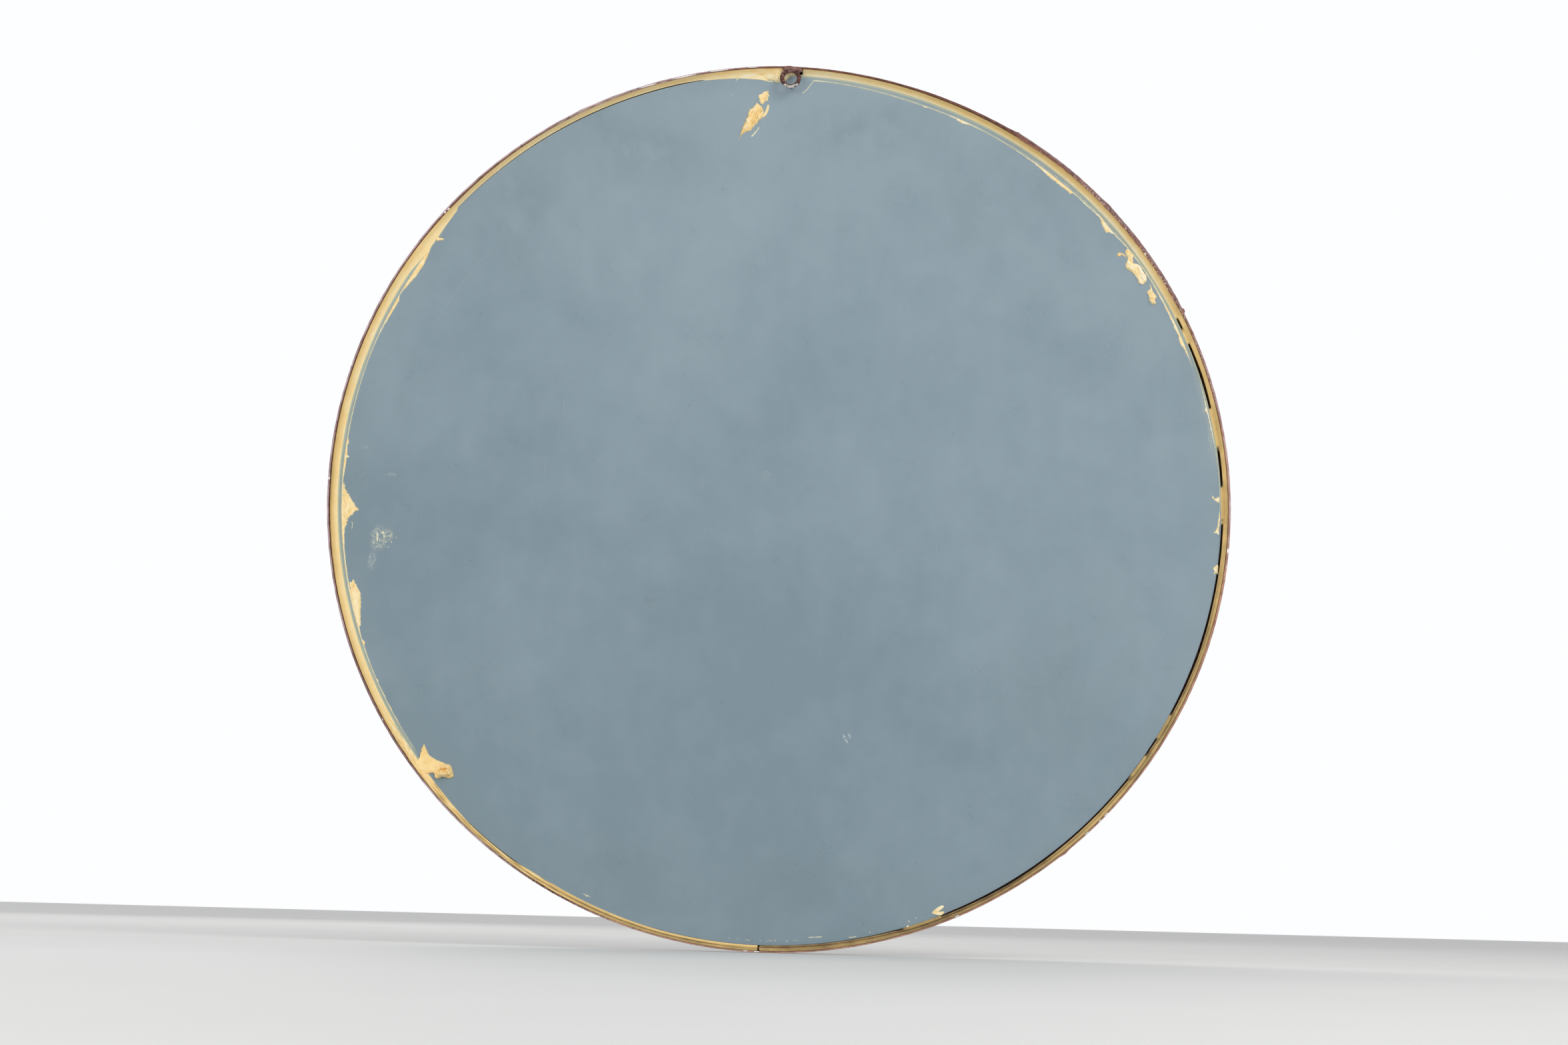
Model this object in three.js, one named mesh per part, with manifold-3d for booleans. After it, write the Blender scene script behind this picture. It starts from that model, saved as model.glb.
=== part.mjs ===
// Convex security mirror: a domed glass mirror, painted on its back, sealed into a rolled steel
// hoop that hangs from a welded eye ring.
//
// Millimetres, +Z up. The convex face looks along -Y; the back, which goes to the wall, looks
// along +Y. The origin is the centre of the hanging ring. Places on the back are given as seen
// from behind: u to the viewer's right, v up, and angles anticlockwise from the viewer's right.
import * as THREE from 'three';
import { mergeVertices } from 'three/addons/utils/BufferGeometryUtils.js';
import Module from 'manifold-3d';

// ---- driving dimensions ------------------------------------------------------------------
const HOOP_R = 450; // outer radius of the rolled angle
const HOOP_WALL = 3;
const HOOP_DEPTH = 20; // back edge at y = 0, front lip at y = -20
const LIP_INNER_R = 430;
const LIP = 3;
const EDGE = 0.5; // broken edges of the rolled bar

const GLASS_R = 443.3;
const GLASS_THICKNESS = 4;
const GLASS_SAG = 55; // rise of the convex face over the whole disc
const GLASS_BACK_EDGE_Y = -8.2;
const GLASS_SHIFT_X = 1.3; // the glass sits a little off centre in the hoop
const SILVER = 0.1;
const PAINT = 0.3;
const FILM_GAP = 0.1;

const ROD = 4.8; // rod of the hanging ring
const RING_MEAN_R = 8.7;
const RING_SPLIT = 14; // degrees left open where the rod's two ends meet, under the weld
const RING_CENTRE_R = 435.6;

const GAP = 0.3; // between neighbours that touch
const LUMP_GAP = 0.4; // under a lump on the faceted dish
const SEGMENTS = 72;

const INNER_R = HOOP_R - HOOP_WALL;
const BEAD_R = INNER_R - 0.4;

// ---- colours -----------------------------------------------------------------------------
const finish = (color, roughness, metalness) =>
  new THREE.MeshStandardMaterial({ color, roughness, metalness });
const RUSTY_PAINT = () => finish(0x5e3328, 0.55, 0.35);
const WORN_STEEL = () => finish(0x4a2a22, 0.6, 0.5);
const SEALANT = () => finish(0xe3bf72, 0.45, 0);

// ---- helpers -----------------------------------------------------------------------------
const rad = THREE.MathUtils.degToRad;

/** A closed, indexed copy with positions only, no collapsed triangles, faces outward. */
function closed(geometry) {
  const bare = new THREE.BufferGeometry();
  bare.setAttribute('position', geometry.getAttribute('position').clone());
  if (geometry.index) bare.setIndex(geometry.index.clone());
  const merged = mergeVertices(bare, 1e-4);
  const old = merged.index.array;
  const faces = [];
  for (let i = 0; i < old.length; i += 3) {
    const [a, b, c] = [old[i], old[i + 1], old[i + 2]];
    if (a !== b && b !== c && c !== a) faces.push(a, b, c);
  }
  const p = merged.getAttribute('position');
  const [A, B, C] = [new THREE.Vector3(), new THREE.Vector3(), new THREE.Vector3()];
  let volume = 0;
  for (let i = 0; i < faces.length; i += 3) {
    A.fromBufferAttribute(p, faces[i]);
    B.fromBufferAttribute(p, faces[i + 1]);
    C.fromBufferAttribute(p, faces[i + 2]);
    volume += A.dot(B.cross(C));
  }
  if (volume < 0) faces.reverse();
  merged.setIndex(faces);
  return merged;
}

/** Revolves a list of [radius, y] about the Y axis. A profile off the axis closes on itself. */
function revolve(profile) {
  const points = profile.map(([r, y]) => new THREE.Vector2(r, y));
  if (profile[0][0] > 0) points.push(points[0].clone());
  return closed(new THREE.LatheGeometry(points, SEGMENTS));
}

/** Extrudes a shape drawn in x and z towards -Y, from y = back over the given depth. */
function extrudeDown(shape, back, depth, curveSegments = 12) {
  const g = new THREE.ExtrudeGeometry(shape, { depth, bevelEnabled: false, curveSegments });
  return closed(g.rotateX(Math.PI / 2).translate(0, back, 0));
}

const wasm = await Module();
wasm.setup();

function toManifold(geometry) {
  return new wasm.Manifold(
    new wasm.Mesh({
      numProp: 3,
      vertProperties: new Float32Array(geometry.getAttribute('position').array),
      triVerts: new Uint32Array(geometry.index.array),
    }),
  );
}

function fromManifold(manifold) {
  const mesh = manifold.getMesh();
  const g = new THREE.BufferGeometry();
  g.setAttribute('position', new THREE.BufferAttribute(mesh.vertProperties, 3));
  g.setIndex(new THREE.BufferAttribute(mesh.triVerts, 1));
  return closed(g);
}

function node(name, geometry, material) {
  geometry.computeVertexNormals();
  const mesh = new THREE.Mesh(geometry, material);
  mesh.name = name;
  return mesh;
}

/** Turns a piece built on local +X so that it lies at an angle seen from behind. */
function turnTo(mesh, angle) {
  mesh.rotation.y = Math.PI + rad(angle);
  return mesh;
}

// ---- the dish: concentric spheres about one centre on the hoop's axis ----------------------
const FRONT_R = (GLASS_R ** 2 + GLASS_SAG ** 2) / (2 * GLASS_SAG);
const BACK_R = FRONT_R - GLASS_THICKNESS;
const DISH_CENTRE_Y = GLASS_BACK_EDGE_Y + Math.sqrt(BACK_R ** 2 - GLASS_R ** 2);
const SILVER_R = BACK_R - FILM_GAP;
const PAINT_R = SILVER_R - SILVER - FILM_GAP;
const PAINT_TOP_R = PAINT_R - PAINT;

const dishY = (sphereR, r) => DISH_CENTRE_Y - Math.sqrt(sphereR ** 2 - r ** 2);

/** A domed disc between two of the spheres, out to its edge. */
function dishShell(frontR, backR, edgeR) {
  const rings = [0, 100, 200, 300, 360, 400, edgeR];
  const front = rings.map((r) => [r, dishY(frontR, r)]);
  const back = rings.map((r) => [r, dishY(backR, r)]).reverse();
  return revolve([...front, ...back]);
}

function mirrorGlass() {
  return node('mirror_glass', dishShell(FRONT_R, BACK_R, GLASS_R), finish(0xc9d3d2, 0.04, 0.9));
}

function silverCoating() {
  const film = dishShell(SILVER_R, SILVER_R - SILVER, GLASS_R - GAP);
  return node('silver_coating', film, finish(0xd8dadb, 0.08, 1));
}

function backingPaint() {
  const film = dishShell(PAINT_R, PAINT_TOP_R, GLASS_R - GAP);
  return node('backing_paint', film, finish(0x8396a2, 0.3, 0));
}

/** The bed of sealant that the glass's front edge sits in, on the hoop's lip. */
function frontGlazingBed() {
  const [inner, outer, onLip] = [431, 440, LIP - HOOP_DEPTH + GAP];
  const under = (r) => [r, dishY(FRONT_R, r) - GAP];
  const bed = revolve([[inner, onLip], [outer, onLip], under(outer), under(inner)]);
  return node('front_glazing_bed', bed, SEALANT());
}

// ---- the hoop and what is welded to it -----------------------------------------------------
function rimHoop() {
  const heel = 1.5; // rounded outer corner between wall and lip
  const root = 1; // fillet inside the corner
  return node(
    'rim_hoop',
    revolve([
      [INNER_R + EDGE, 0],
      [HOOP_R - EDGE, 0],
      [HOOP_R, -EDGE],
      [HOOP_R, heel - HOOP_DEPTH],
      [HOOP_R - heel, -HOOP_DEPTH],
      [LIP_INNER_R + EDGE, -HOOP_DEPTH],
      [LIP_INNER_R, EDGE - HOOP_DEPTH],
      [LIP_INNER_R, LIP - HOOP_DEPTH - EDGE],
      [LIP_INNER_R + EDGE, LIP - HOOP_DEPTH],
      [INNER_R - root, LIP - HOOP_DEPTH],
      [INNER_R, LIP - HOOP_DEPTH + root],
      [INNER_R, -EDGE],
    ]),
    RUSTY_PAINT(),
  );
}

/** The butt weld across the hoop's outer face, where the rolled bar's ends meet. */
function hoopSeamWeld() {
  const [angle, halfWidth, proud, base] = [26.3, 3.4, 2, HOOP_R + GAP + 0.1];
  const dome = new THREE.Shape();
  dome.moveTo(base, -halfWidth);
  dome.quadraticCurveTo(base + proud * 2, 0, base, halfWidth);
  dome.closePath();
  const weld = node('hoop_seam_weld', extrudeDown(dome, -0.4, HOOP_DEPTH - 1, 8), WORN_STEEL());
  return turnTo(weld, angle);
}

/** The centre line of the ring's rod, from one cut end round to the other. */
class RodLine extends THREE.Curve {
  getPoint(t, target = new THREE.Vector3()) {
    const a = rad(RING_SPLIT / 2 + t * (360 - RING_SPLIT));
    return target.set(RING_MEAN_R * Math.sin(a), 0, RING_MEAN_R * Math.cos(a));
  }
}

function hangingRing() {
  const section = new THREE.Shape().absarc(0, 0, ROD / 2, 0, Math.PI * 2);
  const rod = new THREE.ExtrudeGeometry(section, {
    extrudePath: new RodLine(),
    steps: 26,
    curveSegments: 6,
  });
  const ring = node('hanging_ring', closed(rod), WORN_STEEL());
  ring.position.z = RING_CENTRE_R;
  return ring;
}

/** A weld deposit: an ellipsoid less whatever it was laid on. */
function deposit(centre, radii, grow = 0) {
  const ball = new THREE.SphereGeometry(1, 16, 10);
  ball.scale(...radii.map((r) => r + grow)).translate(...centre);
  return toManifold(closed(ball));
}

function ringWelds() {
  const nearRod = new THREE.TorusGeometry(RING_MEAN_R, ROD / 2 + GAP, 10, 30);
  nearRod.rotateX(Math.PI / 2).translate(0, 0, RING_CENTRE_R);
  const nearHoop = revolve([
    [INNER_R - GAP, GAP],
    [HOOP_R + GAP, GAP],
    [HOOP_R + GAP, -HOOP_DEPTH],
    [INNER_R - GAP, -HOOP_DEPTH],
  ]);
  const metal = toManifold(closed(nearRod)).add(toManifold(nearHoop));
  const crown = [[0, 0.3, 446.2], [8.2, 3.3, 4.6]];
  const toe = [[-9.4, -0.4, 444.9], [3.2, 2.4, 2.9]];
  const main = deposit(...crown).subtract(metal);
  const side = deposit(...toe).subtract(metal).subtract(deposit(...crown, GAP));
  return [
    node('hanging_ring_weld', fromManifold(main), WORN_STEEL()),
    node('hanging_ring_weld_right', fromManifold(side), WORN_STEEL()),
  ];
}

// ---- rubber blocks that the glass's edge stands on -----------------------------------------
function settingBlock(name, angle) {
  const length = 3.2; // degrees of arc
  const middle = 180 - angle;
  const glassEdge = GLASS_R + GLASS_SHIFT_X * Math.cos(rad(middle)) + GAP + 0.1;
  const [from, to] = [rad(middle - length / 2), rad(middle + length / 2)];
  const shape = new THREE.Shape();
  shape.absarc(0, 0, INNER_R - GAP - 0.3, from, to, false);
  shape.absarc(0, 0, glassEdge, to, from, true);
  shape.closePath();
  return node(name, extrudeDown(shape, -10.2, 5.4, 6), finish(0x151515, 0.8, 0));
}

// ---- the sealant bead ----------------------------------------------------------------------
const BOND_TOE_R = 441.4;
const BRIDGE_TOE_R = 440.4; // further in on the right, where the glass's edge is further from the hoop
const LOOSE_FACE_R = 443.8;
const BEAD_FLOOR_Y = -9.6;

// Where the bead bridges to the glass on the right, as [from, to] angles; between them it has let go.
const BRIDGES = [
  [23.4, 25.4],
  [9.4, 14.6],
  [-1.3, 3.8],
  [-29.9, -26.4],
  [-36.5, -32.5],
  [-72.5, -66.5],
];
const LEFT_BEAD = [91.8, 268.8];
const RIGHT_BEAD = [-91.1, 88.3];
const RIGHT_BONDED_FROM = 27.2;

/** A wedge about the hoop's axis between two angles seen from behind. */
function wedge([from, to]) {
  const reach = HOOP_R + 20;
  const [start, end] = [rad(180 - to), rad(180 - from)];
  const shape = new THREE.Shape();
  shape.moveTo(0, 0);
  shape.lineTo(reach * Math.cos(start), reach * Math.sin(start));
  shape.absarc(0, 0, reach, start, end, false);
  shape.closePath();
  return toManifold(extrudeDown(shape, 5, 30, 24));
}

function bondedRing(toeR) {
  return toManifold(
    revolve([
      [BEAD_R, -1.2],
      [toeR + 1.6, -5.2],
      [toeR, dishY(PAINT_TOP_R, toeR) + 1.3],
      [toeR, BEAD_FLOOR_Y],
      [BEAD_R, BEAD_FLOOR_Y],
    ]),
  );
}

function looseRing() {
  return toManifold(
    revolve([
      [BEAD_R, -1.2],
      [LOOSE_FACE_R, -4],
      [LOOSE_FACE_R, BEAD_FLOOR_Y],
      [BEAD_R, BEAD_FLOOR_Y],
    ]),
  );
}

/** The glass with its coatings, grown by the gap, in the hoop's frame. */
function glassClearance() {
  const edge = GLASS_R + GAP;
  const above = (r) => [r, dishY(PAINT_TOP_R, r) + GAP];
  const body = revolve([[0, -80], [edge, -80], above(edge), above(430), above(400), above(0)]);
  return toManifold(body.translate(GLASS_SHIFT_X, 0, 0));
}

function sealantBeads() {
  const glass = glassClearance();
  const left = bondedRing(BOND_TOE_R).intersect(wedge(LEFT_BEAD)).subtract(glass);
  let right = looseRing().intersect(wedge([RIGHT_BEAD[0], RIGHT_BONDED_FROM + 0.5]));
  for (const arc of [[RIGHT_BONDED_FROM, RIGHT_BEAD[1]], ...BRIDGES]) {
    right = right.add(bondedRing(BRIDGE_TOE_R).intersect(wedge(arc)));
  }
  return [
    node('sealant_bead_left', fromManifold(left), SEALANT()),
    node('sealant_bead_right', fromManifold(right.subtract(glass)), SEALANT()),
  ];
}

// ---- smears and lumps of sealant left on the paint -----------------------------------------
// Each has its place and its outline in u and v, and its height off the paint.
const LUMPS = [
  {
    name: 'sealant_smear_top',
    at: [-39, 394],
    height: 2.4,
    outline: [[-13, -17], [-9, -5], [-5, 6], [0, 14], [5, 20], [10, 16], [12, 9], [8, 2], [2, -6], [-5, -10], [-10, -14]],
  },
  {
    name: 'sealant_smear_top_tip',
    at: [-26.5, 419],
    height: 1.6,
    outline: [[-6, 1], [-1, 5.5], [4, 7], [4, 1], [2, -3], [-3, -6]],
  },
  {
    name: 'sealant_dollop_lower_left',
    at: [-330, -279],
    height: 5,
    outline: [
      [-9, 1], [-13, 10], [-11.5, 20], [-8, 15], [-2, 8], [7, 4], [15, 1], [18.5, -7], [17, -12],
      [4, -12.5], [-2, -4],
    ],
  },
  {
    name: 'sealant_lump_upper_right',
    at: [355, 246],
    height: 3,
    outline: [
      [-6, 16], [-1.5, 11], [0, 4], [5, 1], [9, -6], [11, -13], [8, -18], [4, -16], [-2, -6],
      [-8, 0], [-8, 6], [-8, 13],
    ],
  },
  {
    name: 'sealant_lump_upper_right_low',
    at: [373, 216],
    height: 2.6,
    outline: [[-1, 9], [-4.5, 4], [-2, -6], [1, -9], [4.5, -7], [4.5, 0]],
  },
  {
    name: 'sealant_lump_upper_right_high',
    at: [326, 289],
    height: 1.4,
    outline: [[-4, 9], [-1.5, 3], [4, -5], [1, -7], [-2, -2], [-4.5, 4]],
  },
  {
    name: 'sealant_curl_upper_right',
    at: [342.5, 258.5],
    height: 1.2,
    outline: [[-4, 0], [-2, 2.3], [1.5, 1], [4, -2], [1, -1.2], [-2, -1.5]],
  },
  {
    name: 'sealant_smear_left',
    at: [-429, -28],
    height: 1.2,
    outline: [[-5.5, 28], [-2, 21], [5, 8], [8.5, 2], [3, -3], [0, -11], [-1, -28], [-3.5, -29], [-5.5, 6]],
  },
  {
    name: 'sealant_smear_left_low',
    at: [-416, -119],
    height: 1.1,
    outline: [[-6, 19], [-4, 22], [3, 8], [4, -6], [5.5, -22], [3, -22], [-3, 0]],
  },
  {
    name: 'sealant_dab_right',
    at: [436.5, 6],
    height: 0.8,
    outline: [[-3, 3], [-0.5, 0.5], [1.5, 2.5], [2, -3], [0, -2.5], [-2.5, 0]],
  },
  {
    name: 'sealant_dab_right_low',
    at: [436.5, -19],
    height: 0.7,
    outline: [[1, 12], [-0.5, 0], [-3, -9], [0, -11], [2, -2], [2, 10]],
  },
  {
    name: 'sealant_dab_bottom',
    at: [163.5, -402.5],
    height: 1.2,
    outline: [[-7, -1.5], [-2, 3], [3, 5], [4, 3], [-0.5, -1], [3.5, -1.5], [0, -3.5]],
  },
];

/** A lump draped on the painted dish: its outline extruded, then each end laid on the dish. */
function sealantLump({ name, at: [u, v], height, outline }) {
  const shape = new THREE.Shape(outline.map(([a, b]) => new THREE.Vector2(-(u + a), v + b)));
  const lump = extrudeDown(shape, height, height);
  const p = lump.getAttribute('position');
  for (let i = 0; i < p.count; i++) {
    const r = Math.hypot(p.getX(i) - GLASS_SHIFT_X, p.getZ(i));
    p.setY(i, p.getY(i) + dishY(PAINT_TOP_R, r) + LUMP_GAP);
  }
  return node(name, lump, SEALANT());
}

// ---- assembly ------------------------------------------------------------------------------
const glazing = new THREE.Group();
glazing.position.x = GLASS_SHIFT_X;
glazing.add(mirrorGlass(), silverCoating(), backingPaint(), frontGlazingBed());

const mirror = new THREE.Group();
mirror.position.z = -RING_CENTRE_R;
mirror.add(rimHoop(), hoopSeamWeld(), hangingRing(), ...ringWelds(), glazing);
mirror.add(settingBlock('setting_block_left', 240), settingBlock('setting_block_right', 300));
mirror.add(...sealantBeads(), ...LUMPS.map(sealantLump));

const part = new THREE.Group();
part.add(mirror);

export default part;
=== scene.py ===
"""Convex security mirror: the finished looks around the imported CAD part.

Metres, +Z up, in the CAD's own frame: the painted back looks along +Y. Places on the back are
given in millimetres as seen from behind: u to the viewer's right and v up from the hoop's centre,
or a radius with an angle in degrees anticlockwise from the viewer's right. y is depth: 0 at the
hoop's back edge, negative towards the convex face.
"""

import itertools
import math

import bpy
import bmesh
import numpy as np
from mathutils import Matrix, Vector
from mathutils.geometry import delaunay_2d_cdt

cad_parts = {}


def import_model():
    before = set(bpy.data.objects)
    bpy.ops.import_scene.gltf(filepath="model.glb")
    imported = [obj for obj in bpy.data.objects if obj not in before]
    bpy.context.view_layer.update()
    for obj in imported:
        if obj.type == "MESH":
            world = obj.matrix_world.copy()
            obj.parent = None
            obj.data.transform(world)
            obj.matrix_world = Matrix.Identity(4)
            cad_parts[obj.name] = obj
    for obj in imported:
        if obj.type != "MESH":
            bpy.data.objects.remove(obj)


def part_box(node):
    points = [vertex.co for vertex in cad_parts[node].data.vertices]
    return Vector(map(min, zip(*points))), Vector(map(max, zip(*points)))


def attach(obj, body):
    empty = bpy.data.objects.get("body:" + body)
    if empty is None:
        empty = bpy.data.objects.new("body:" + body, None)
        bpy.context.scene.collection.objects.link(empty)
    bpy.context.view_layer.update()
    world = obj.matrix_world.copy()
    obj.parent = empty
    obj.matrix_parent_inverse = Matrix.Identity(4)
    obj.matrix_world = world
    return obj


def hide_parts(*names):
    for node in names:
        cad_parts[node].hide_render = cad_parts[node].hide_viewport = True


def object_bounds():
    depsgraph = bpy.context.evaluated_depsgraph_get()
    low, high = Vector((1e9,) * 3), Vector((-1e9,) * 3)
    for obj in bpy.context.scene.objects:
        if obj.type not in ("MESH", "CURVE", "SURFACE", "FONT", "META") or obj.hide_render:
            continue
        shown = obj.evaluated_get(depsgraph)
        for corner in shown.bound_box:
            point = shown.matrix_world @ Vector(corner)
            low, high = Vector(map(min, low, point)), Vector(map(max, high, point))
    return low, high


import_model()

CAD_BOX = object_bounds()
BODY = "root"  # the one body of the part
MM = 0.001

# ---- sizes, from the frame
rim_low, rim_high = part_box("rim_hoop")
glass_low, glass_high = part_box("mirror_glass")
HOOP_R = (rim_high.x - rim_low.x) / 2 / MM
HOOP_DEPTH = (rim_high.y - rim_low.y) / MM
CENTRE_V = (rim_high.z + rim_low.z) / 2 / MM
GLASS_R = (glass_high.x - glass_low.x) / 2 / MM
GLASS_U = -(glass_high.x + glass_low.x) / 2 / MM

# The CAD's sizes that its boxes don't show, in millimetres.
HOOP_WALL = 3
LIP = 3  # thickness of the lip that the glass rests on
LIP_INNER_R = 430
GLASS_THICKNESS = 4
SILVER = 0.1
PAINT = 0.3
FILM_GAP = 0.1  # between glass, silver and paint
FILM_INSET = 0.3  # how far the silver and the paint stop short of the glass's edge
BEAD_R = HOOP_R - HOOP_WALL - 0.05
BEAD_TOP_Y = -0.75  # where the bead meets the hoop's inner face
BEAD_FLOOR_Y = -9.6  # where it ends below, beside the edge of the glass

# The dish is a set of concentric spheres; the glass's height and edge radius give the first.
glass_height = (glass_high.y - glass_low.y) / MM
dome_height = glass_height - GLASS_THICKNESS
FRONT_R = (GLASS_R**2 + glass_height**2 - GLASS_THICKNESS**2) / (2 * dome_height)
DISH_CENTRE_Y = glass_low.y / MM + FRONT_R
BACK_R = FRONT_R - GLASS_THICKNESS
SILVER_R = BACK_R - FILM_GAP
PAINT_R = SILVER_R - SILVER - FILM_GAP
PAINT_TOP_R = PAINT_R - PAINT


# ---- geometry helpers
def world(u, v, y):
    """Points in metres in the CAD frame, from arrays in millimetres seen from behind."""
    u, v, y = np.broadcast_arrays(u, v, y)
    return np.stack([-u, y, v + CENTRE_V], -1) * MM


def dish(sphere_r, u, v):
    """Depth of one of the dish's spheres at a place on the back."""
    return DISH_CENTRE_Y - np.sqrt(sphere_r**2 - (u - GLASS_U) ** 2 - v**2)


def polar(radius, angle):
    """u and v of a radius and an angle in degrees."""
    a = np.radians(angle)
    return radius * np.cos(a), radius * np.sin(a)


def dish_at(sphere_r, radius, angle):
    """Depth of one of the dish's spheres at a radius and an angle."""
    return dish(sphere_r, *polar(radius, angle))


def smoothstep(low, high, x):
    t = np.clip((x - low) / (high - low), 0, 1)
    return t * t * (3 - 2 * t)


def window(low, high, soft, x):
    """1 from low to high, falling to 0 over soft at both ends."""
    return smoothstep(low - soft, low + soft, x) * (1 - smoothstep(high - soft, high + soft, x))


def hashed(cells, seed):
    """A repeatable random number from 0 to 1 for each row of whole numbers."""
    mixed = np.full(len(cells), 97 * seed + 13, np.uint64)
    for column in cells.astype(np.int64).T:
        mixed = (mixed ^ column.astype(np.uint64)) * np.uint64(0x9E3779B97F4A7C15)
        mixed ^= mixed >> np.uint64(29)
    return (mixed >> np.uint64(11)).astype(float) / 2**53


def noise(points, seed):
    """Smooth random values from -1 to 1 at rows of coordinates, with one cell per unit."""
    cell = np.floor(points).astype(np.int64)
    part = points - cell
    part = part * part * (3 - 2 * part)
    total = np.zeros(len(points))
    for corner in itertools.product((0, 1), repeat=points.shape[1]):
        weight = np.prod(np.where(corner, part, 1 - part), axis=1)
        total += weight * (2 * hashed(cell + np.array(corner), seed) - 1)
    return total


def fractal(points, seed, octaves=3):
    return sum(noise(points * 2**k, seed + k) / 2**k for k in range(octaves))


def cracked(points, seed):
    """Distance to the nearest of a set of scattered points, one per unit cell of the plane."""
    cell = np.floor(points).astype(np.int64)
    nearest = np.full(len(points), 9.0)
    for step in itertools.product((-1, 0, 1), repeat=2):
        other = cell + np.array(step)
        place = other + np.stack([hashed(other, seed), hashed(other, seed + 1)], -1)
        nearest = np.minimum(nearest, np.linalg.norm(points - place, axis=1))
    return nearest


def add_piece(name, points, faces, material, replaces=(), values=None):
    """A smooth closed mesh that rides on the body. values are named numbers, for all points or each."""
    mesh = bpy.data.meshes.new(name)
    mesh.from_pydata(points.tolist(), [], faces)
    work = bmesh.new()
    work.from_mesh(mesh)
    bmesh.ops.recalc_face_normals(work, faces=work.faces)
    work.to_mesh(mesh)
    work.free()
    mesh.shade_smooth()
    for label, numbers in (values or {}).items():
        layer = mesh.attributes.new(label, "FLOAT", "POINT")
        numbers = np.broadcast_to(np.ravel(numbers), len(points))
        layer.data.foreach_set("value", numbers.astype(np.float32))
    mesh.materials.append(material)
    piece = bpy.data.objects.new(name, mesh)
    bpy.context.scene.collection.objects.link(piece)
    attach(piece, BODY)
    if replaces:
        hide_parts(*replaces)
    return piece


def grid_faces(rows, columns, close_rows):
    """Quads between the rows of a grid of points; the columns always close into a loop."""
    last = rows if close_rows else rows - 1
    i, j = np.meshgrid(np.arange(last), np.arange(columns), indexing="ij")
    here = i * columns
    after = (i + 1) % rows * columns
    beside = (j + 1) % columns
    quads = np.stack([here + j, after + j, after + beside, here + beside], -1)
    faces = quads.reshape(-1, 4).tolist()
    if not close_rows:
        faces.append(list(range(columns)))
        faces.append([(rows - 1) * columns + k for k in range(columns)])
    return faces


def swept(angles, radii, depths):
    """Points of a closed section that may change with the angle, one row per angle."""
    u, v = polar(radii, angles[:, None])
    return world(u, v, depths).reshape(-1, 3)


def between(start, end, spacing):
    """Evenly spaced points on the way from start to end, leaving both out."""
    count = max(1, math.ceil(np.linalg.norm(end - start) / spacing))
    return [start + (end - start) * k / count for k in range(1, count)]


def rounded_loop(corners, spacing):
    """A closed section in radius and depth from (radius, depth, fillet) corners."""
    points = []
    for k, (r, y, fillet) in enumerate(corners):
        here = np.array([r, y], float)
        before = np.array(corners[k - 1][:2], float)
        after = np.array(corners[(k + 1) % len(corners)][:2], float)
        start = here + (before - here) / np.linalg.norm(before - here) * fillet
        end = here + (after - here) / np.linalg.norm(after - here) * fillet
        if points:
            points += between(points[-1], start, spacing)
        for s in np.linspace(0, 1, 5):
            points.append((1 - s) ** 2 * start + 2 * s * (1 - s) * here + s**2 * end)
    return np.array(points + between(points[-1], points[0], spacing))


def repeated(section, count):
    """Radii and depths of one section, in count equal rows."""
    return np.tile(section[:, 0], (count, 1)), np.tile(section[:, 1], (count, 1))


def loop_normals(section):
    """Outward normals of a closed section."""
    along = np.roll(section, -1, 0) - np.roll(section, 1, 0)
    normal = np.stack([along[:, 1], -along[:, 0]], -1)
    normal /= np.linalg.norm(normal, axis=1)[:, None]
    x, y = section[:, 0], section[:, 1]
    area = np.sum(x * np.roll(y, -1) - np.roll(x, -1) * y)
    return normal if area > 0 else -normal


# ---- material helpers
class Nodes:
    """Short calls for making and joining the nodes of one tree."""

    def __init__(self, tree):
        self.tree = tree

    def node(self, kind, inputs=None, **settings):
        made = self.tree.nodes.new(kind)
        for key, value in settings.items():
            setattr(made, key, value)
        for key, value in (inputs or {}).items():
            if isinstance(value, bpy.types.NodeSocket):
                self.tree.links.new(value, made.inputs[key])
            else:
                made.inputs[key].default_value = value
        return made

    def vector(self, operation, first, second=(0, 0, 0)):
        return self.node("ShaderNodeVectorMath", {0: first, 1: second}, operation=operation).outputs

    def ramp(self, value, stops):
        made = self.node("ShaderNodeValToRGB", {"Fac": value})
        elements = made.color_ramp.elements
        while len(elements) < len(stops):
            elements.new(0.5)
        for element, (place, colour) in zip(elements, stops):
            element.position = place
            element.color = (*colour, 1)
        return made.outputs["Color"]

    def between(self, value, low, high, start=0.0, end=1.0):
        """start below low, end above high and a smooth change between them."""
        inputs = {"Value": value, "From Min": low, "From Max": high, "To Min": start, "To Max": end}
        made = self.node("ShaderNodeMapRange", inputs, interpolation_type="SMOOTHSTEP")
        return made.outputs["Result"]


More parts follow.
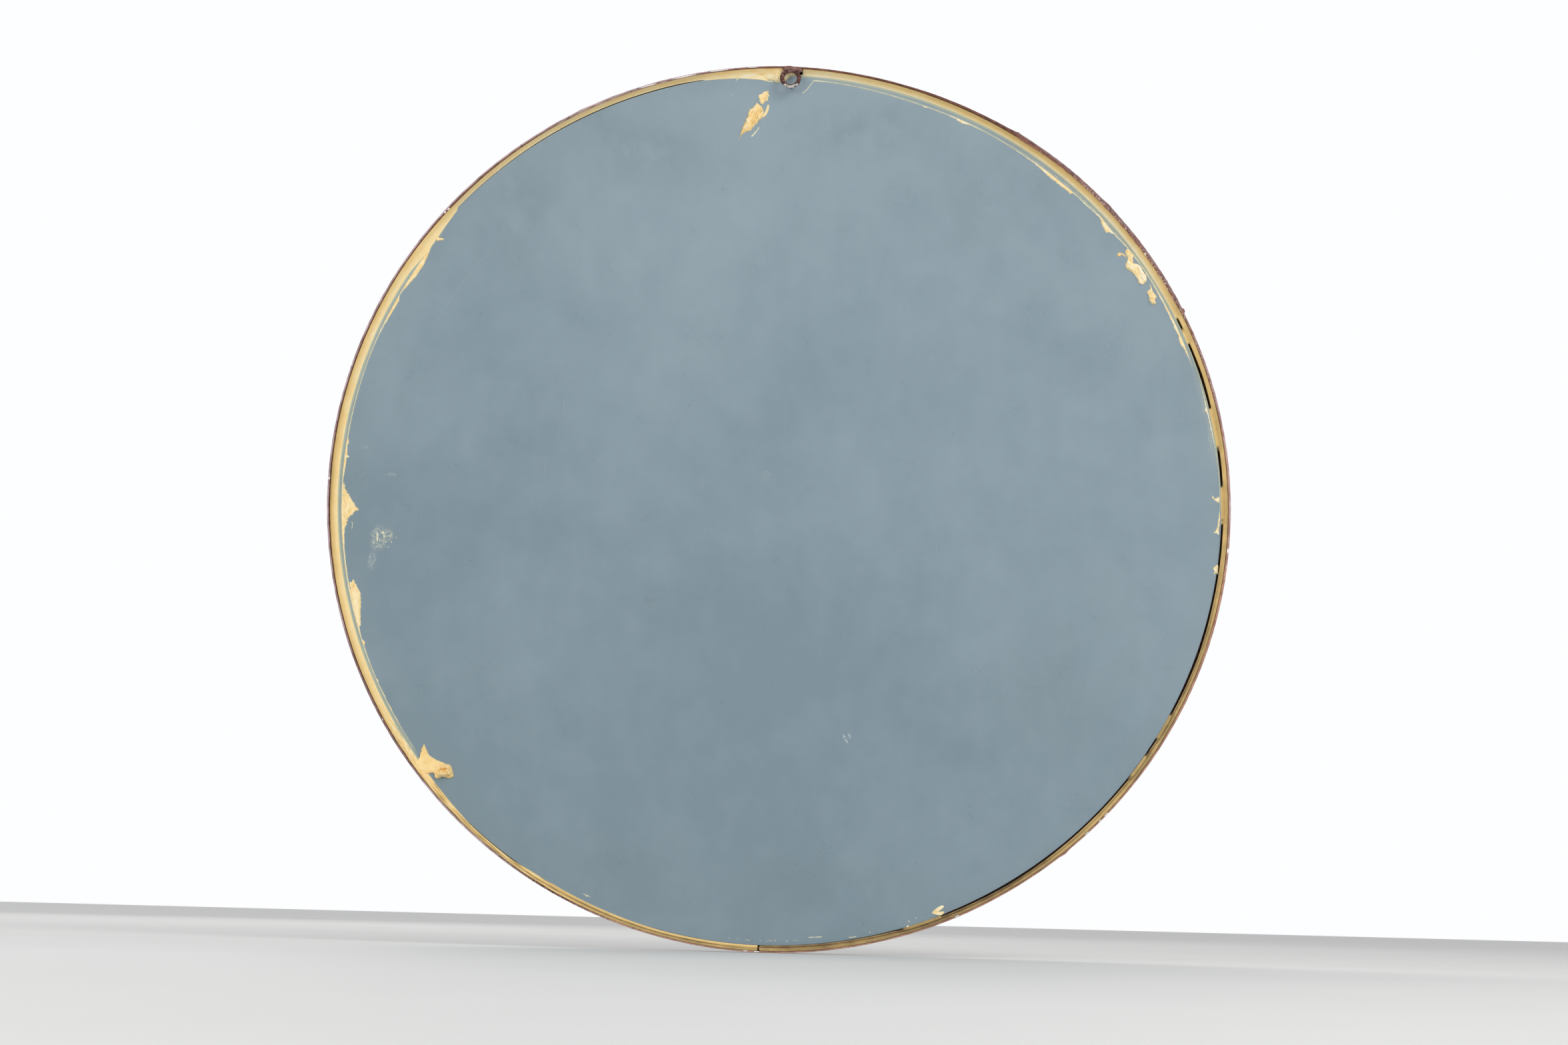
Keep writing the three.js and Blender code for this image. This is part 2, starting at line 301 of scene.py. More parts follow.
class Shading(Nodes):
    """A material with one Principled shader, and short calls for the nodes that feed it."""

    def __init__(self, name, **constants):
        self.material = bpy.data.materials.new(name)
        self.material.use_nodes = True
        super().__init__(self.material.node_tree)
        self.shader = self.tree.nodes["Principled BSDF"]
        for socket, value in constants.items():
            self.shader.inputs[socket.replace("_", " ")].default_value = value
        self.place = self.node("ShaderNodeTexCoord").outputs["Object"]

    def feed(self, socket, value):
        self.tree.links.new(value, self.shader.inputs[socket])

    def value(self, name):
        return self.node("ShaderNodeAttribute", attribute_name=name).outputs["Fac"]

    def noise(self, scale, detail=3.0, roughness=0.55, where=None):
        inputs = {"Vector": where or self.place, "Scale": scale, "Detail": detail, "Roughness": roughness}
        return self.node("ShaderNodeTexNoise", inputs).outputs["Fac"]

    def stretched(self, scale, turn=(0.0, 0.0, 0.0), move=(0.0, 0.0, 0.0)):
        """The piece's own coordinates moved, turned and scaled."""
        inputs = {"Vector": self.place, "Scale": scale, "Rotation": turn, "Location": move}
        return self.node("ShaderNodeMapping", inputs, vector_type="POINT").outputs["Vector"]

    def maths(self, operation, a, b=0.0, c=0.0):
        return self.node("ShaderNodeMath", {0: a, 1: b, 2: c}, operation=operation).outputs[0]

    def times(self, a, b):
        return self.maths("MULTIPLY", a, b)

    def scaled(self, value, amount, start):
        """start plus value times amount."""
        return self.maths("MULTIPLY_ADD", value, amount, start)

    def varied(self, value, texture, amount):
        """value, raised and lowered by a texture about its middle."""
        return self.scaled(self.maths("SUBTRACT", texture, 0.5), amount, value)

    def mix(self, share, first, second):
        made = self.node("ShaderNodeMix", data_type="RGBA")
        for index, value in ((0, share), (6, first), (7, second)):
            if isinstance(value, bpy.types.NodeSocket):
                self.tree.links.new(value, made.inputs[index])
            else:
                made.inputs[index].default_value = value if index == 0 else (*value, 1)
        return made.outputs[2]

    def offset(self, u, v):
        """The way from a place on the back."""
        return self.vector("SUBTRACT", self.place, (-u * MM, 0, (v + CENTRE_V) * MM))[0]

    def spot(self, u, v, half_u, half_v, turn=0.0):
        """1 at a place on the back, falling to 0 at the edge of an ellipse of these half sizes."""
        size = (1 / (half_u * MM), 0.001, 1 / (half_v * MM))
        inputs = {"Vector": self.offset(u, v), "Angle": math.radians(turn)}
        turned = self.node("ShaderNodeVectorRotate", inputs, rotation_type="Y_AXIS").outputs[0]
        length = self.vector("LENGTH", self.vector("MULTIPLY", turned, size)[0])["Value"]
        return self.between(length, 0.0, 1.0, 1.0, 0.0)

    def circle_line(self, u, v, radius, half_width):
        """1 along a circle drawn on the back, seen straight on."""
        flat = self.vector("MULTIPLY", self.offset(u, v), (1, 0, 1))[0]
        length = self.vector("LENGTH", flat)["Value"]
        away = self.maths("ABSOLUTE", self.maths("SUBTRACT", length, radius * MM))
        return self.between(away, 0.0, half_width * MM, 1.0, 0.0)

    def bump(self, *layers):
        """Layers of (height, strength, distance in metres)."""
        normal = None
        for height, strength, distance in layers:
            inputs = {"Height": height, "Strength": strength, "Distance": distance}
            if normal is not None:
                inputs["Normal"] = normal
            normal = self.node("ShaderNodeBump", inputs).outputs["Normal"]
        self.feed("Normal", normal)


def painted_steel(name):
    """Old red-brown paint over rusty steel, with painted light. Values, from 0 to 1: pink, the paint's
    own pinkish brown and also painted light on lit faces; speckle, bright specks painted as glints of the
    pitted steel; pale, a pale mauve painted highlight; chip, bare white chips.
    """
    s = Shading(name, Specular_IOR_Level=0.45)
    blotches = s.noise(170, 4)
    grain = s.noise(900, 5, 0.65)
    flakes = s.noise(520, 2)
    rust = [(0.3, (0.04, 0.015, 0.012)), (0.5, (0.135, 0.045, 0.032)), (0.75, (0.25, 0.095, 0.062))]
    pink_paint_and_light = [(0.3, (0.2, 0.08, 0.045)), (0.5, (0.5, 0.25, 0.16)), (0.7, (0.72, 0.46, 0.34))]
    # pink gives the paint's own pinkish brown, and also painted light on lit faces.
    colour = s.mix(s.value("pink_paint_and_light"), s.ramp(blotches, rust), s.ramp(grain, pink_paint_and_light))
    # Painted highlight: where pale is high, the paint turns pale mauve.
    lilac_highlight = s.times(s.value("pale"), s.between(blotches, 0.2, 0.42))
    colour = s.mix(lilac_highlight, colour, (0.56, 0.42, 0.43))
    dark = s.times(s.between(grain, 0.56, 0.7), 0.75)
    colour = s.mix(dark, colour, (0.02, 0.01, 0.01))
    # Painted glints: where speckle is high, bright specks are scattered over the paint.
    glints = s.times(s.value("glint_speckle"), s.between(flakes, 0.5, 0.62))
    colour = s.mix(glints, colour, (0.78, 0.62, 0.56))
    chip = s.between(s.varied(s.value("chip"), flakes, 1.2), 0.45, 0.6)
    colour = s.mix(chip, colour, (0.88, 0.87, 0.85))
    s.feed("Base Color", colour)
    s.feed("Roughness", s.scaled(grain, 0.5, 0.22))
    s.bump((blotches, 0.5, 0.0006), (grain, 0.6, 0.00025))
    return s.material


def worn_rod(name):
    """Dark red-brown rod, rubbed to bare metal where the value worn is high."""
    s = Shading(name, Specular_IOR_Level=0.5)
    blotches = s.noise(430, 5, 0.62)
    grain = s.noise(1400, 4, 0.6)
    # The palest stop of this ramp paints bright specks that stand for highlights on the knobbly paint:
    # painted highlight.
    paint = [
        (0.36, (0.012, 0.005, 0.005)),
        (0.5, (0.075, 0.022, 0.017)),
        (0.6, (0.21, 0.085, 0.065)),
        (0.7, (0.55, 0.36, 0.3)),
    ]
    steel = [(0.38, (0.1, 0.06, 0.05)), (0.47, (0.55, 0.49, 0.45)), (0.6, (0.93, 0.9, 0.87))]
    bare = s.between(s.varied(s.value("worn"), grain, 1.6), 0.45, 0.62)
    s.feed("Base Color", s.mix(bare, s.ramp(blotches, paint), s.ramp(blotches, steel)))
    s.feed("Metallic", s.times(bare, 0.6))
    s.feed("Roughness", s.scaled(grain, 0.4, 0.12))
    s.bump((blotches, 0.7, 0.0007), (grain, 0.4, 0.00015))
    return s.material


# Dirty and powdery patches on the paint: u, v, half width, half height, turn, amount and colour.
SMUDGES = [
    (-160, 365, 170, 60, 8, 0.36),
    (80, 388, 130, 45, -4, 0.36),
    (215, 325, 95, 65, -30, 0.32),
    (-275, 300, 80, 90, 20, 0.34),
    (60, -392, 170, 48, 3, 0.4),
    (-150, -378, 110, 60, -8, 0.35),
    (-130, -104, 16, 6, -12, 0.7),
    (300, -170, 120, 160, 10, 0.22),
]
POWDER_MARKS = [
    (-399, -54, 12, 19, 0, 0.75, (0.55, 0.58, 0.48)),
    (-391, -50, 8, 10, 0, 0.7, (0.6, 0.6, 0.44)),
    (-404, -77, 6, 15, 4, 0.5, (0.5, 0.56, 0.52)),
    (-391, 12, 9, 2.5, -4, 0.45, (0.5, 0.56, 0.52)),
    (-416, 38, 9, 2, -4, 0.35, (0.5, 0.56, 0.52)),
    (72, -240, 2.2, 8, -24, 0.95, (0.62, 0.67, 0.68)),
    (76, -236, 2, 6, -20, 0.7, (0.6, 0.65, 0.66)),
    (432, 72, 4, 30, 8, 0.3, (0.5, 0.56, 0.46)),
    (426, 105, 4, 26, 13, 0.25, (0.5, 0.56, 0.46)),
    (-14, 30, 7, 9, 30, 0.16, (0.5, 0.56, 0.55)),
]


def backing_paint(name):
    """Slate blue-grey backing paint: clouded, wiped, finely scratched, with painted light and shade
    across it. Value: film, 0 to 1.
    """
    s = Shading(name, Specular_IOR_Level=0.5)
    turned = s.stretched((1, 1, 1), (0.7, 0.5, 0.9))
    clouds = s.noise(5.5, 5, 0.55, turned)
    mottle = s.noise(26, 4, 0.6, turned)
    runs = s.noise(1.0, 4, 0.6, s.stretched((60, 60, 9)))
    tint_and_painted_light = s.scaled(mottle, 0.2, s.times(clouds, 0.4))
    tint_and_painted_light = s.scaled(runs, 0.08, s.maths("ADD", tint_and_painted_light, 0.135))
    across = s.node("ShaderNodeSeparateXYZ", {"Vector": s.place}).outputs
    # Painted light and shade: lighter towards the top and the viewer's right and darker towards the
    # bottom and left, as the light falls, and a little darker about the middle.
    tint_and_painted_light = s.scaled(across["Z"], 0.28, s.maths("ADD", tint_and_painted_light, -0.28 * CENTRE_V * MM))
    tint_and_painted_light = s.scaled(across["X"], -0.13, tint_and_painted_light)
    tint_and_painted_light = s.scaled(s.spot(0, -70, 400, 440), -0.06, tint_and_painted_light)
    slate = [(0.34, (0.2, 0.272, 0.318)), (0.5, (0.243, 0.32, 0.372)), (0.66, (0.286, 0.366, 0.422))]
    colour = s.ramp(tint_and_painted_light, slate)

    grime = s.noise(22, 5, 0.62, turned)
    dirt = s.between(grime, 0.36, 0.62)
    for *ellipse, amount in SMUDGES:
        share = s.times(s.spot(*ellipse), dirt)
        colour = s.mix(s.times(share, amount), colour, (0.172, 0.228, 0.262))

    hairlines = None
    for k, (turn, wide) in enumerate([(0.5, 700), (-0.9, 620), (1.45, 800), (-0.2, 900)]):
        along = s.stretched((wide, 9, 9), (0.0, turn, 0.0), (3.1 * k, 0.0, 1.7 * k))
        line = s.between(s.noise(1.0, 1, 0.4, along), 0.79, 0.84)
        hairlines = line if hairlines is None else s.maths("MAXIMUM", hairlines, line)
    patchy = s.between(s.noise(8, 2), 0.5, 0.68)
    scratch = s.times(hairlines, patchy)
    colour = s.mix(s.times(scratch, 0.45), colour, (0.43, 0.5, 0.52))

    powder = s.noise(420, 4, 0.7)
    dust = s.between(powder, 0.42, 0.62)
    for *ellipse, amount, pale in POWDER_MARKS:
        share = s.times(s.between(s.spot(*ellipse), 0.05, 0.6), dust)
        colour = s.mix(s.times(share, amount), colour, pale)

    arc = s.times(s.circle_line(11.9, -14.7, 410.7, 0.4), s.spot(-330, 205, 90, 130, -25))
    colour = s.mix(s.times(arc, 0.5), colour, (0.36, 0.42, 0.46))

    wiped = s.times(s.value("film"), s.scaled(mottle, 0.5, 0.75))
    colour = s.mix(wiped, colour, (0.66, 0.66, 0.4))
    s.feed("Base Color", colour)
    gloss = s.scaled(mottle, 0.16, 0.22)
    gloss = s.scaled(s.value("film"), 0.2, gloss)
    s.feed("Roughness", s.scaled(scratch, 0.2, gloss))
    s.bump((runs, 0.12, 0.0006), (scratch, 0.1, 0.0001))
    return s.material


def sealant(name):
    """Cured yellow sealant. Values: tone from 0, dark brown, to 1, cream, which carries painted light and
    shade as well as the sealant's own colour; thin from 0 to 1.
    """
    s = Shading(name, Specular_IOR_Level=0.45)
    patches = s.noise(70, 4, 0.6)
    grain = s.noise(650, 4, 0.6)
    tone = s.varied(s.varied(s.value("tone"), patches, 0.3), grain, 0.14)
    yellows = [
        (0.0, (0.05, 0.025, 0.012)),
        (0.14, (0.2, 0.12, 0.045)),
        (0.3, (0.46, 0.32, 0.125)),
        (0.5, (0.8, 0.535, 0.195)),
        (0.7, (0.95, 0.675, 0.285)),
        (0.86, (0.985, 0.785, 0.435)),
        (1.0, (0.99, 0.9, 0.68)),
    ]
    colour = s.ramp(tone, yellows)
    colour = s.mix(s.times(s.value("thin"), 0.75), colour, (0.66, 0.69, 0.5))
    s.feed("Base Color", colour)
    s.feed("Roughness", s.scaled(grain, 0.3, 0.3))
    s.bump((patches, 0.25, 0.0008), (grain, 0.35, 0.00018))
    return s.material


def mirror_face(name):
    """Silvered glass seen from the front, with the faint dust and edge spots of an old mirror."""
    s = Shading(name, Metallic=1.0, Coat_Weight=1.0, Coat_Roughness=0.02)
    dust = s.noise(240, 4, 0.7)
    spots = s.noise(95, 3, 0.6)
    ageing = s.times(s.value("edge"), s.between(spots, 0.6, 0.7))
    clean = s.ramp(s.noise(6, 2), [(0.3, (0.84, 0.87, 0.86)), (0.7, (0.88, 0.905, 0.895))])
    s.feed("Base Color", s.mix(ageing, clean, (0.2, 0.17, 0.13)))
    haze = s.times(s.between(dust, 0.6, 0.75), 0.03)
    haze = s.maths("ADD", haze, 0.012)
    s.feed("Roughness", s.scaled(ageing, 0.3, haze))
    return s.material


def silver_film(name):
    s = Shading(name, Metallic=1.0)
    cloud = s.noise(30, 3)
    s.feed("Base Color", s.ramp(cloud, [(0.3, (0.8, 0.8, 0.78)), (0.7, (0.93, 0.93, 0.91))]))
    s.feed("Roughness", s.scaled(cloud, 0.1, 0.08))
    return s.material


def block_rubber(name):
    s = Shading(name, Specular_IOR_Level=0.3)
    grain = s.noise(800, 4, 0.6)
    s.feed("Base Color", s.ramp(grain, [(0.3, (0.008, 0.008, 0.009)), (0.7, (0.028, 0.027, 0.026))]))
    s.feed("Roughness", s.scaled(grain, 0.3, 0.6))
    s.bump((grain, 0.3, 0.0002))
    return s.material


STEEL = painted_steel("old_painted_steel")
ROD_FINISH = worn_rod("worn_rod")
PAINT_FINISH = backing_paint("slate_backing_paint")
SEALANT = sealant("yellow_sealant")
MIRROR = mirror_face("silvered_glass")
SILVERING = silver_film("silver_film")
RUBBER = block_rubber("block_rubber")


# ---- the hoop
THICK_RIM = (26.5, 58.2)  # the stretch where the back edge is crusted and wider
RIM_LUMPS = [(58.4, 6, 1.3), (118.2, 5, 0.7), (-50.7, 4, 0.9), (43, 9, 0.4)]
# Radius of the hoop's inner face at its back edge, by angle: it is ground thin at the lower right.
INNER_FACE = [
    (-180, 447.2), (-150, 447.4), (-132, 447.8), (-100, 448.4), (-45, 448.5), (-30, 447.7), (-5, 447.1),
    (26, 447), (52, 446.7), (57, 445.5), (70, 445.2), (80, 445.6), (86, 446.3), (91, 446.9), (128, 447),
    (138, 446.6), (150, 447), (180, 447.2),
]
# The hoop is out of round near the top: angle and how far the outline lies inside the circle.
FLAT_TOP = [(50, 0), (57, 0.5), (65, 1.4), (75, 2), (84, 1.6), (92, 0.8), (104, 0.3), (114, 0)]
# Bare white chips: angle, half length, middle radius and half width in millimetres.
RIM_CHIPS = [
    (-6, 2.6, 448.7, 1.2), (-8.2, 1.2, 448.9, 0.7), (-9.5, 1, 448.9, 0.6), (-43.6, 2.6, 449, 0.6),
    (-44.6, 1.6, 449, 0.6), (-46.9, 2.4, 449, 0.6), (-91.4, 3, 449, 0.6), (-92.7, 2.8, 449, 0.6),
    (95, 5, 448.3, 0.4), (99.5, 12, 448.2, 0.4), (104.2, 15, 448.2, 0.4), (109, 10, 448.2, 0.4),
    (179.7, 1.9, 448.6, 0.9), (141, 1.9, 447.9, 0.9), (140.4, 1.6, 447.4, 0.8), (54.7, 3.6, 446.6, 0.5),
    (35.2, 2.2, 446.8, 0.7), (34.7, 1.8, 447.1, 0.6), (211.7, 1.4, 448.6, 0.6), (-66.2, 2.6, 448.9, 0.6),
]


def signed_angle(angle):
    """The same angle from -180 to 180."""
    return (np.asarray(angle) + 180) % 360 - 180


def arc_length(angle, middle):
    """Millimetres along the hoop from one angle to another."""
    return np.radians(signed_angle(angle - middle)) * HOOP_R


def inner_face(angle):
    return column(INNER_FACE, 1, signed_angle(angle))


def column(table, index, angles):
    """One column of a table against the angles in its first column."""
    rows = np.array(table)
    return np.interp(angles, rows[:, 0], rows[:, index])


def rim_section():
    wall_r = HOOP_R - HOOP_WALL
    return rounded_loop(
        [
            (wall_r, 0, 0.5),
            (wall_r + 1.4, 0, 0.35),
            (HOOP_R, 0, 0.7),
            (HOOP_R, -HOOP_DEPTH, 1.8),
            (LIP_INNER_R, -HOOP_DEPTH, 0.8),
            (LIP_INNER_R, LIP - HOOP_DEPTH, 0.8),
            (wall_r, LIP - HOOP_DEPTH, 1.2),
        ],
        spacing=2.0,
    )


def rim_looks(angle, radius, depth):
    """The hoop's colour by place: how pink, pale, speckled or chipped it is. The chips are bare
    metal; pink is partly painted light, and pale and speckle are painted highlight and painted glints.
    """
    a = signed_angle(angle)
    at_back = smoothstep(-2.2, -0.6, depth)
    right_side = window(-112, 26, 5, a)
    thick = window(*THICK_RIM, 1.5, a)
    inner = 1 - smoothstep(446.6, 448.0, radius)
    patchy = noise(np.stack([a * 1.3, radius / 3], -1), 5)
    # pink is partly the paint's own pinkish brown and partly painted light, strongest on the right side,
    # where the light falls.
    pink_paint_and_light = right_side * (0.8 + 0.4 * patchy)
    pink_paint_and_light = np.where(a > 10, 0.4 * pink_paint_and_light, pink_paint_and_light)
    pink_paint_and_light = np.maximum(pink_paint_and_light, thick * inner * 0.3)
    pink_paint_and_light = np.maximum(pink_paint_and_light, 0.12 * window(60, 100, 6, a))
    # pale is painted highlight: a pale line along the back edge at the upper left, and the lit outer
    # corner of the back edge on the left, at the top and on the right.
    outer = smoothstep(447.7, 448.7, radius)
    left_side = 1 - window(-125, 92, 6, a)
    pale = np.maximum(window(100, 124, 3, a) * window(446.2, 447.6, 0.4, radius), left_side * outer)
    pale = np.maximum(pale, 0.1 * right_side * outer * window(-120, 4, 6, a))
    pale = np.maximum(pale, 0.35 * window(24, 100, 6, a) * outer)
    pale = np.maximum(pale, 0.7 * window(-8, 22, 4, a) * outer) * (0.8 + 0.5 * patchy)
    line = window(446.2, 448.2, 0.5, radius)
    pale = pale * (1 - 0.6 * window(-160, -140, 4, a))
    # speckle paints bright specks along the back edge that stand for glints of the pitted steel: painted
    # highlight.
    glint_speckle = 0.55 * line * np.maximum(window(13, 50, 2, a), 0.4 * window(-95, -60, 5, a))
    glint_speckle = np.maximum(glint_speckle, 0.3 * outer * window(-134, -97, 4, a))
    chip = np.zeros_like(a)
    for middle, half, chip_r, half_r in RIM_CHIPS:
        along = arc_length(a, middle) / half
        chip = np.maximum(chip, 1 - smoothstep(0.5, 1.3, np.hypot(along, (radius - chip_r) / half_r)))
    looks = {"pink_paint_and_light": pink_paint_and_light, "pale": pale, "glint_speckle": glint_speckle, "chip": chip}
    return {label: numbers * at_back for label, numbers in looks.items()}


def add_rim():
    """The hoop, dented, crusted over one stretch, flat near the top and ground thin in places."""
    angles = np.linspace(0, 360, 1200, endpoint=False)
    section = rim_section()
    normals = loop_normals(section)
    radii, depths = repeated(section, len(angles))
    a = np.repeat(angles[:, None], len(section), 1)
    u, v = polar(radii, a)
    spots = np.stack([u, v, depths], -1).reshape(-1, 3)
    dents = -0.22 + 0.12 * noise(spots / 38, 1) + 0.09 * fractal(spots / 3.1, 2)
    dents -= 0.3 * np.clip(fractal(spots / 1.7, 7) - 0.55, 0, 1)
    dents = np.clip(dents, -0.9, 0).reshape(radii.shape)
    radii = radii + dents * normals[:, 0]
    depths = depths + dents * normals[:, 1]

    middle_r = HOOP_R - HOOP_WALL / 2
    side = np.clip((radii - middle_r) / (HOOP_WALL / 2), -1, 1)
    near_back = smoothstep(-2.4, -0.9, depths)
    crust = window(*THICK_RIM, 1.0, signed_angle(a)) * near_back
    rough = 0.5 * fractal(spots / 2.2, 11).reshape(radii.shape)
    radii += crust * np.where(side > 0, side * (0.85 + 0.3 * rough), side * (1.35 + rough))
    depths += crust * 0.4 * rough
    radii += (inner_face(a) - HOOP_R + HOOP_WALL) * (1 - side) / 2 * smoothstep(-12, -8, depths)
    radii -= column(FLAT_TOP, 1, a) * (1 + side) / 2 * (radii > middle_r - 1.4)
    for middle, half, proud in RIM_LUMPS:
        lump = np.exp(-((arc_length(a, middle) / half) ** 2)) * smoothstep(-7, -1, depths)
        radii += lump * proud * (1 + rough) * np.clip(side, 0, 1)
    looks = rim_looks(a.ravel(), radii.ravel(), depths.ravel())
    faces = grid_faces(*radii.shape, close_rows=True)
    add_piece("rim", swept(angles, radii, depths), faces, STEEL, ["rim_hoop"], looks)


def add_seam_weld():
    """A rippled weld bead across the hoop's outer face."""
    steps = np.linspace(0, 1, 46)
    turn = np.linspace(0, 2 * math.pi, 28, endpoint=False)
    angle, half_width, proud = 26.3, 3.3, 2.0
    ends = np.sqrt(np.clip(1 - (2 * steps - 1) ** 10, 0, 1))[:, None]
    ripple = 1 + 0.1 * np.cos(steps * 2 * math.pi * 11)[:, None]
    spots = np.stack(np.meshgrid(steps * 12, turn * 1.2, indexing="ij"), -1)
    wobble = 0.14 * noise(spots.reshape(-1, 2), 21).reshape(len(steps), len(turn))
    out = HOOP_R - 0.25 + proud * ends * (ripple + wobble) * np.clip(np.cos(turn), -0.15, 1)
    across = half_width * ends * (1 + wobble) * np.sin(turn)
    depth = -0.3 - (HOOP_DEPTH - 1.4) * steps[:, None] + 0 * turn
    a = math.radians(angle)
    u = out * math.cos(a) - across * math.sin(a)
    v = out * math.sin(a) + across * math.cos(a)
    points = world(u, v, depth).reshape(-1, 3)
    faces = grid_faces(*u.shape, close_rows=False)
    add_piece("seam_weld", points, faces, STEEL, ["hoop_seam_weld"], {"pink_paint_and_light": 0.3})


# ---- the hanging ring and its weld
def add_ring():
    """The ring of round rod, pitted all round and rubbed bright along the bottom."""
    low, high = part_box("hanging_ring")
    rod = (high.y - low.y) / MM
    outer = (high.x - low.x) / 2 / MM
    mean = outer - rod / 2
    around, across = 168, 48
    a = np.linspace(0, 2 * math.pi, around, endpoint=False)[:, None]
    b = np.linspace(0, 2 * math.pi, across, endpoint=False)[None, :]
    u = (mean + rod / 2 * np.cos(b)) * np.cos(a)
    v = (mean + rod / 2 * np.cos(b)) * np.sin(a)
    y = rod / 2 * np.sin(b) + 0 * a
    spots = np.stack([u, v, y], -1).reshape(-1, 3)
    dents = -0.2 + 0.2 * noise(spots / 3.0, 31) + 0.16 * fractal(spots / 1.3, 32)
    r = rod / 2 + np.clip(dents, -0.6, 0).reshape(u.shape)
    u = (mean + r * np.cos(b)) * np.cos(a)
    v = (mean + r * np.cos(b)) * np.sin(a)
    y = r * np.sin(b) + 0 * a
    clock = np.degrees(a) % 360
    rubbed = window(226, 322, 12, clock) * smoothstep(-0.5, 0.5, np.sin(b))
    rubbed = rubbed * smoothstep(-0.6, 0.3, np.cos(b))
    points = np.stack([-u, y, v], -1).reshape(-1, 3) * MM
    faces = grid_faces(around, across, close_rows=True)
    add_piece("ring", points, faces, ROD_FINISH, ["hanging_ring"], {"worn": rubbed})


def add_deposit(name, node, centre, radii, seed, roughness):
    """A lumpy weld deposit, kept inside the CAD's box at the top and at the back."""
    work = bmesh.new()
    bmesh.ops.create_icosphere(work, subdivisions=5, radius=1)
    ball = np.array([vert.co for vert in work.verts])
    faces = [[vert.index for vert in face.verts] for face in work.faces]
    work.free()
    swell = 1 + roughness * fractal(ball * 1.7, seed) + 0.06 * fractal(ball * 6, seed + 9)
    points = np.array(centre) + ball * np.array(radii) * swell[:, None]
    high = CAD_BOX[1]
    points[:, 2] = np.minimum(points[:, 2], high.z / MM - CENTRE_V - 0.05)
    points[:, 1] = np.minimum(points[:, 1], high.y / MM - 0.02)
    placed = world(points[:, 0], points[:, 2], points[:, 1])
    # The deposit's pink and pale values paint its highlights.
    add_piece(name, placed, faces, STEEL, [node], {"pink_paint_and_light": 0.18, "pale": 0.14})


# ---- glass, silver and paint
def disc_shell(front_r, back_r, edge_r, front_rings, back_rings, segments):
    """A closed domed disc between two of the dish's spheres. Returns points, faces, and u and v."""
    front = front_rings[front_rings < edge_r - 0.01]
    back = back_rings[back_rings < edge_r - 0.01]
    turn = np.radians(np.linspace(0, 360, segments, endpoint=False))
    u, v, y = [], [], []
    sides = (front_r, np.append(front, edge_r)), (back_r, np.append(back, edge_r)[::-1])
    for sphere_r, rings in sides:
        for ring in rings:
            ring_u = GLASS_U + ring * np.cos(turn)
            ring_v = ring * np.sin(turn)
            u.append(ring_u)
            v.append(ring_v)
            y.append(dish(sphere_r, ring_u, ring_v))
    faces = grid_faces(len(u), segments, close_rows=False)
    u, v, y = np.concatenate(u), np.concatenate(v), np.concatenate(y)
    return world(u, v, y), faces, u, v


def add_glass():
    rings = np.concatenate([np.arange(4, 400, 9), np.arange(400, GLASS_R, 3)])
    points, faces, u, v = disc_shell(FRONT_R, BACK_R, GLASS_R, rings, rings[::6], 480)
    edge = smoothstep(405, 430, np.hypot(u, v))
    add_piece("glass", points, faces, MIRROR, ["mirror_glass"], {"edge": edge})


def add_silver():
    rings = np.arange(6, GLASS_R - 5, 12)
    edge_r = GLASS_R - FILM_INSET
    points, faces, _, _ = disc_shell(SILVER_R, SILVER_R - SILVER, edge_r, rings, rings, 360)
    add_piece("silver", points, faces, SILVERING, ["silver_coating"])


# ---- the sealant bead
# Angles where each length of the bead starts and ends.
LEFT_BEAD = (90.85, 268.8)
RIGHT_BEAD = (-91.1, 88.45)
# Inner edge of the bead: angle and radius.
LEFT_TOE = [
    (91.45, 437.6), (92.2, 435.6), (92.8, 435.2), (94, 437.6), (97, 440.4), (100, 442), (101.4, 442.6),
    (101.9, 443.7), (105, 444.3), (120, 444.5), (139.3, 444), (139.7, 442.3), (141, 441.2), (144, 438.8),
    (147, 437.9), (150, 440.5), (156, 440.9), (180, 440.6), (196, 440.4), (217, 441), (222, 441.6),
    (226, 442.9), (229, 444.2), (236, 444.4), (238.5, 442.9), (242, 442.5), (250, 443.1), (256, 443.5),
    (268.8, 443.2),
]
RIGHT_TOE = [
    (-91.1, 443.3), (-72.5, 442.6), (-66.5, 442.6), (-36, 442.3), (-30, 441.9), (0, 441.3), (12, 441.3),
    (27, 441.5), (45, 441.4), (60, 441.4), (70, 441), (80, 441.7), (88.3, 442.2),
]
# Radius of the face of the bead on the right, where it stands clear of the glass.
LOOSE_FACE = [
    (-91, 442.9), (-73, 443.3), (-66, 443.9), (-58, 444.4), (-46, 443.5), (-33, 443.2), (-27, 443.6),
    (-20, 444), (-14, 443.4), (-4, 443.2), (3, 443.4), (6, 443.5), (14, 443.5), (17.5, 443.9),
    (21.5, 443.3), (24.9, 443.2),
]
# Stretches of it that have let go: from, to, and how slowly it lets go, in degrees.
LET_GO = [
    (23.9, 25.8, 0.7), (13.2, 21.9, 0.9), (2.3, 7.6, 1), (-28.4, -2.4, 1.2), (-34.4, -31.9, 0.8),
    (-67.4, -38.3, 1.4), (-91, -73.6, 2),
]
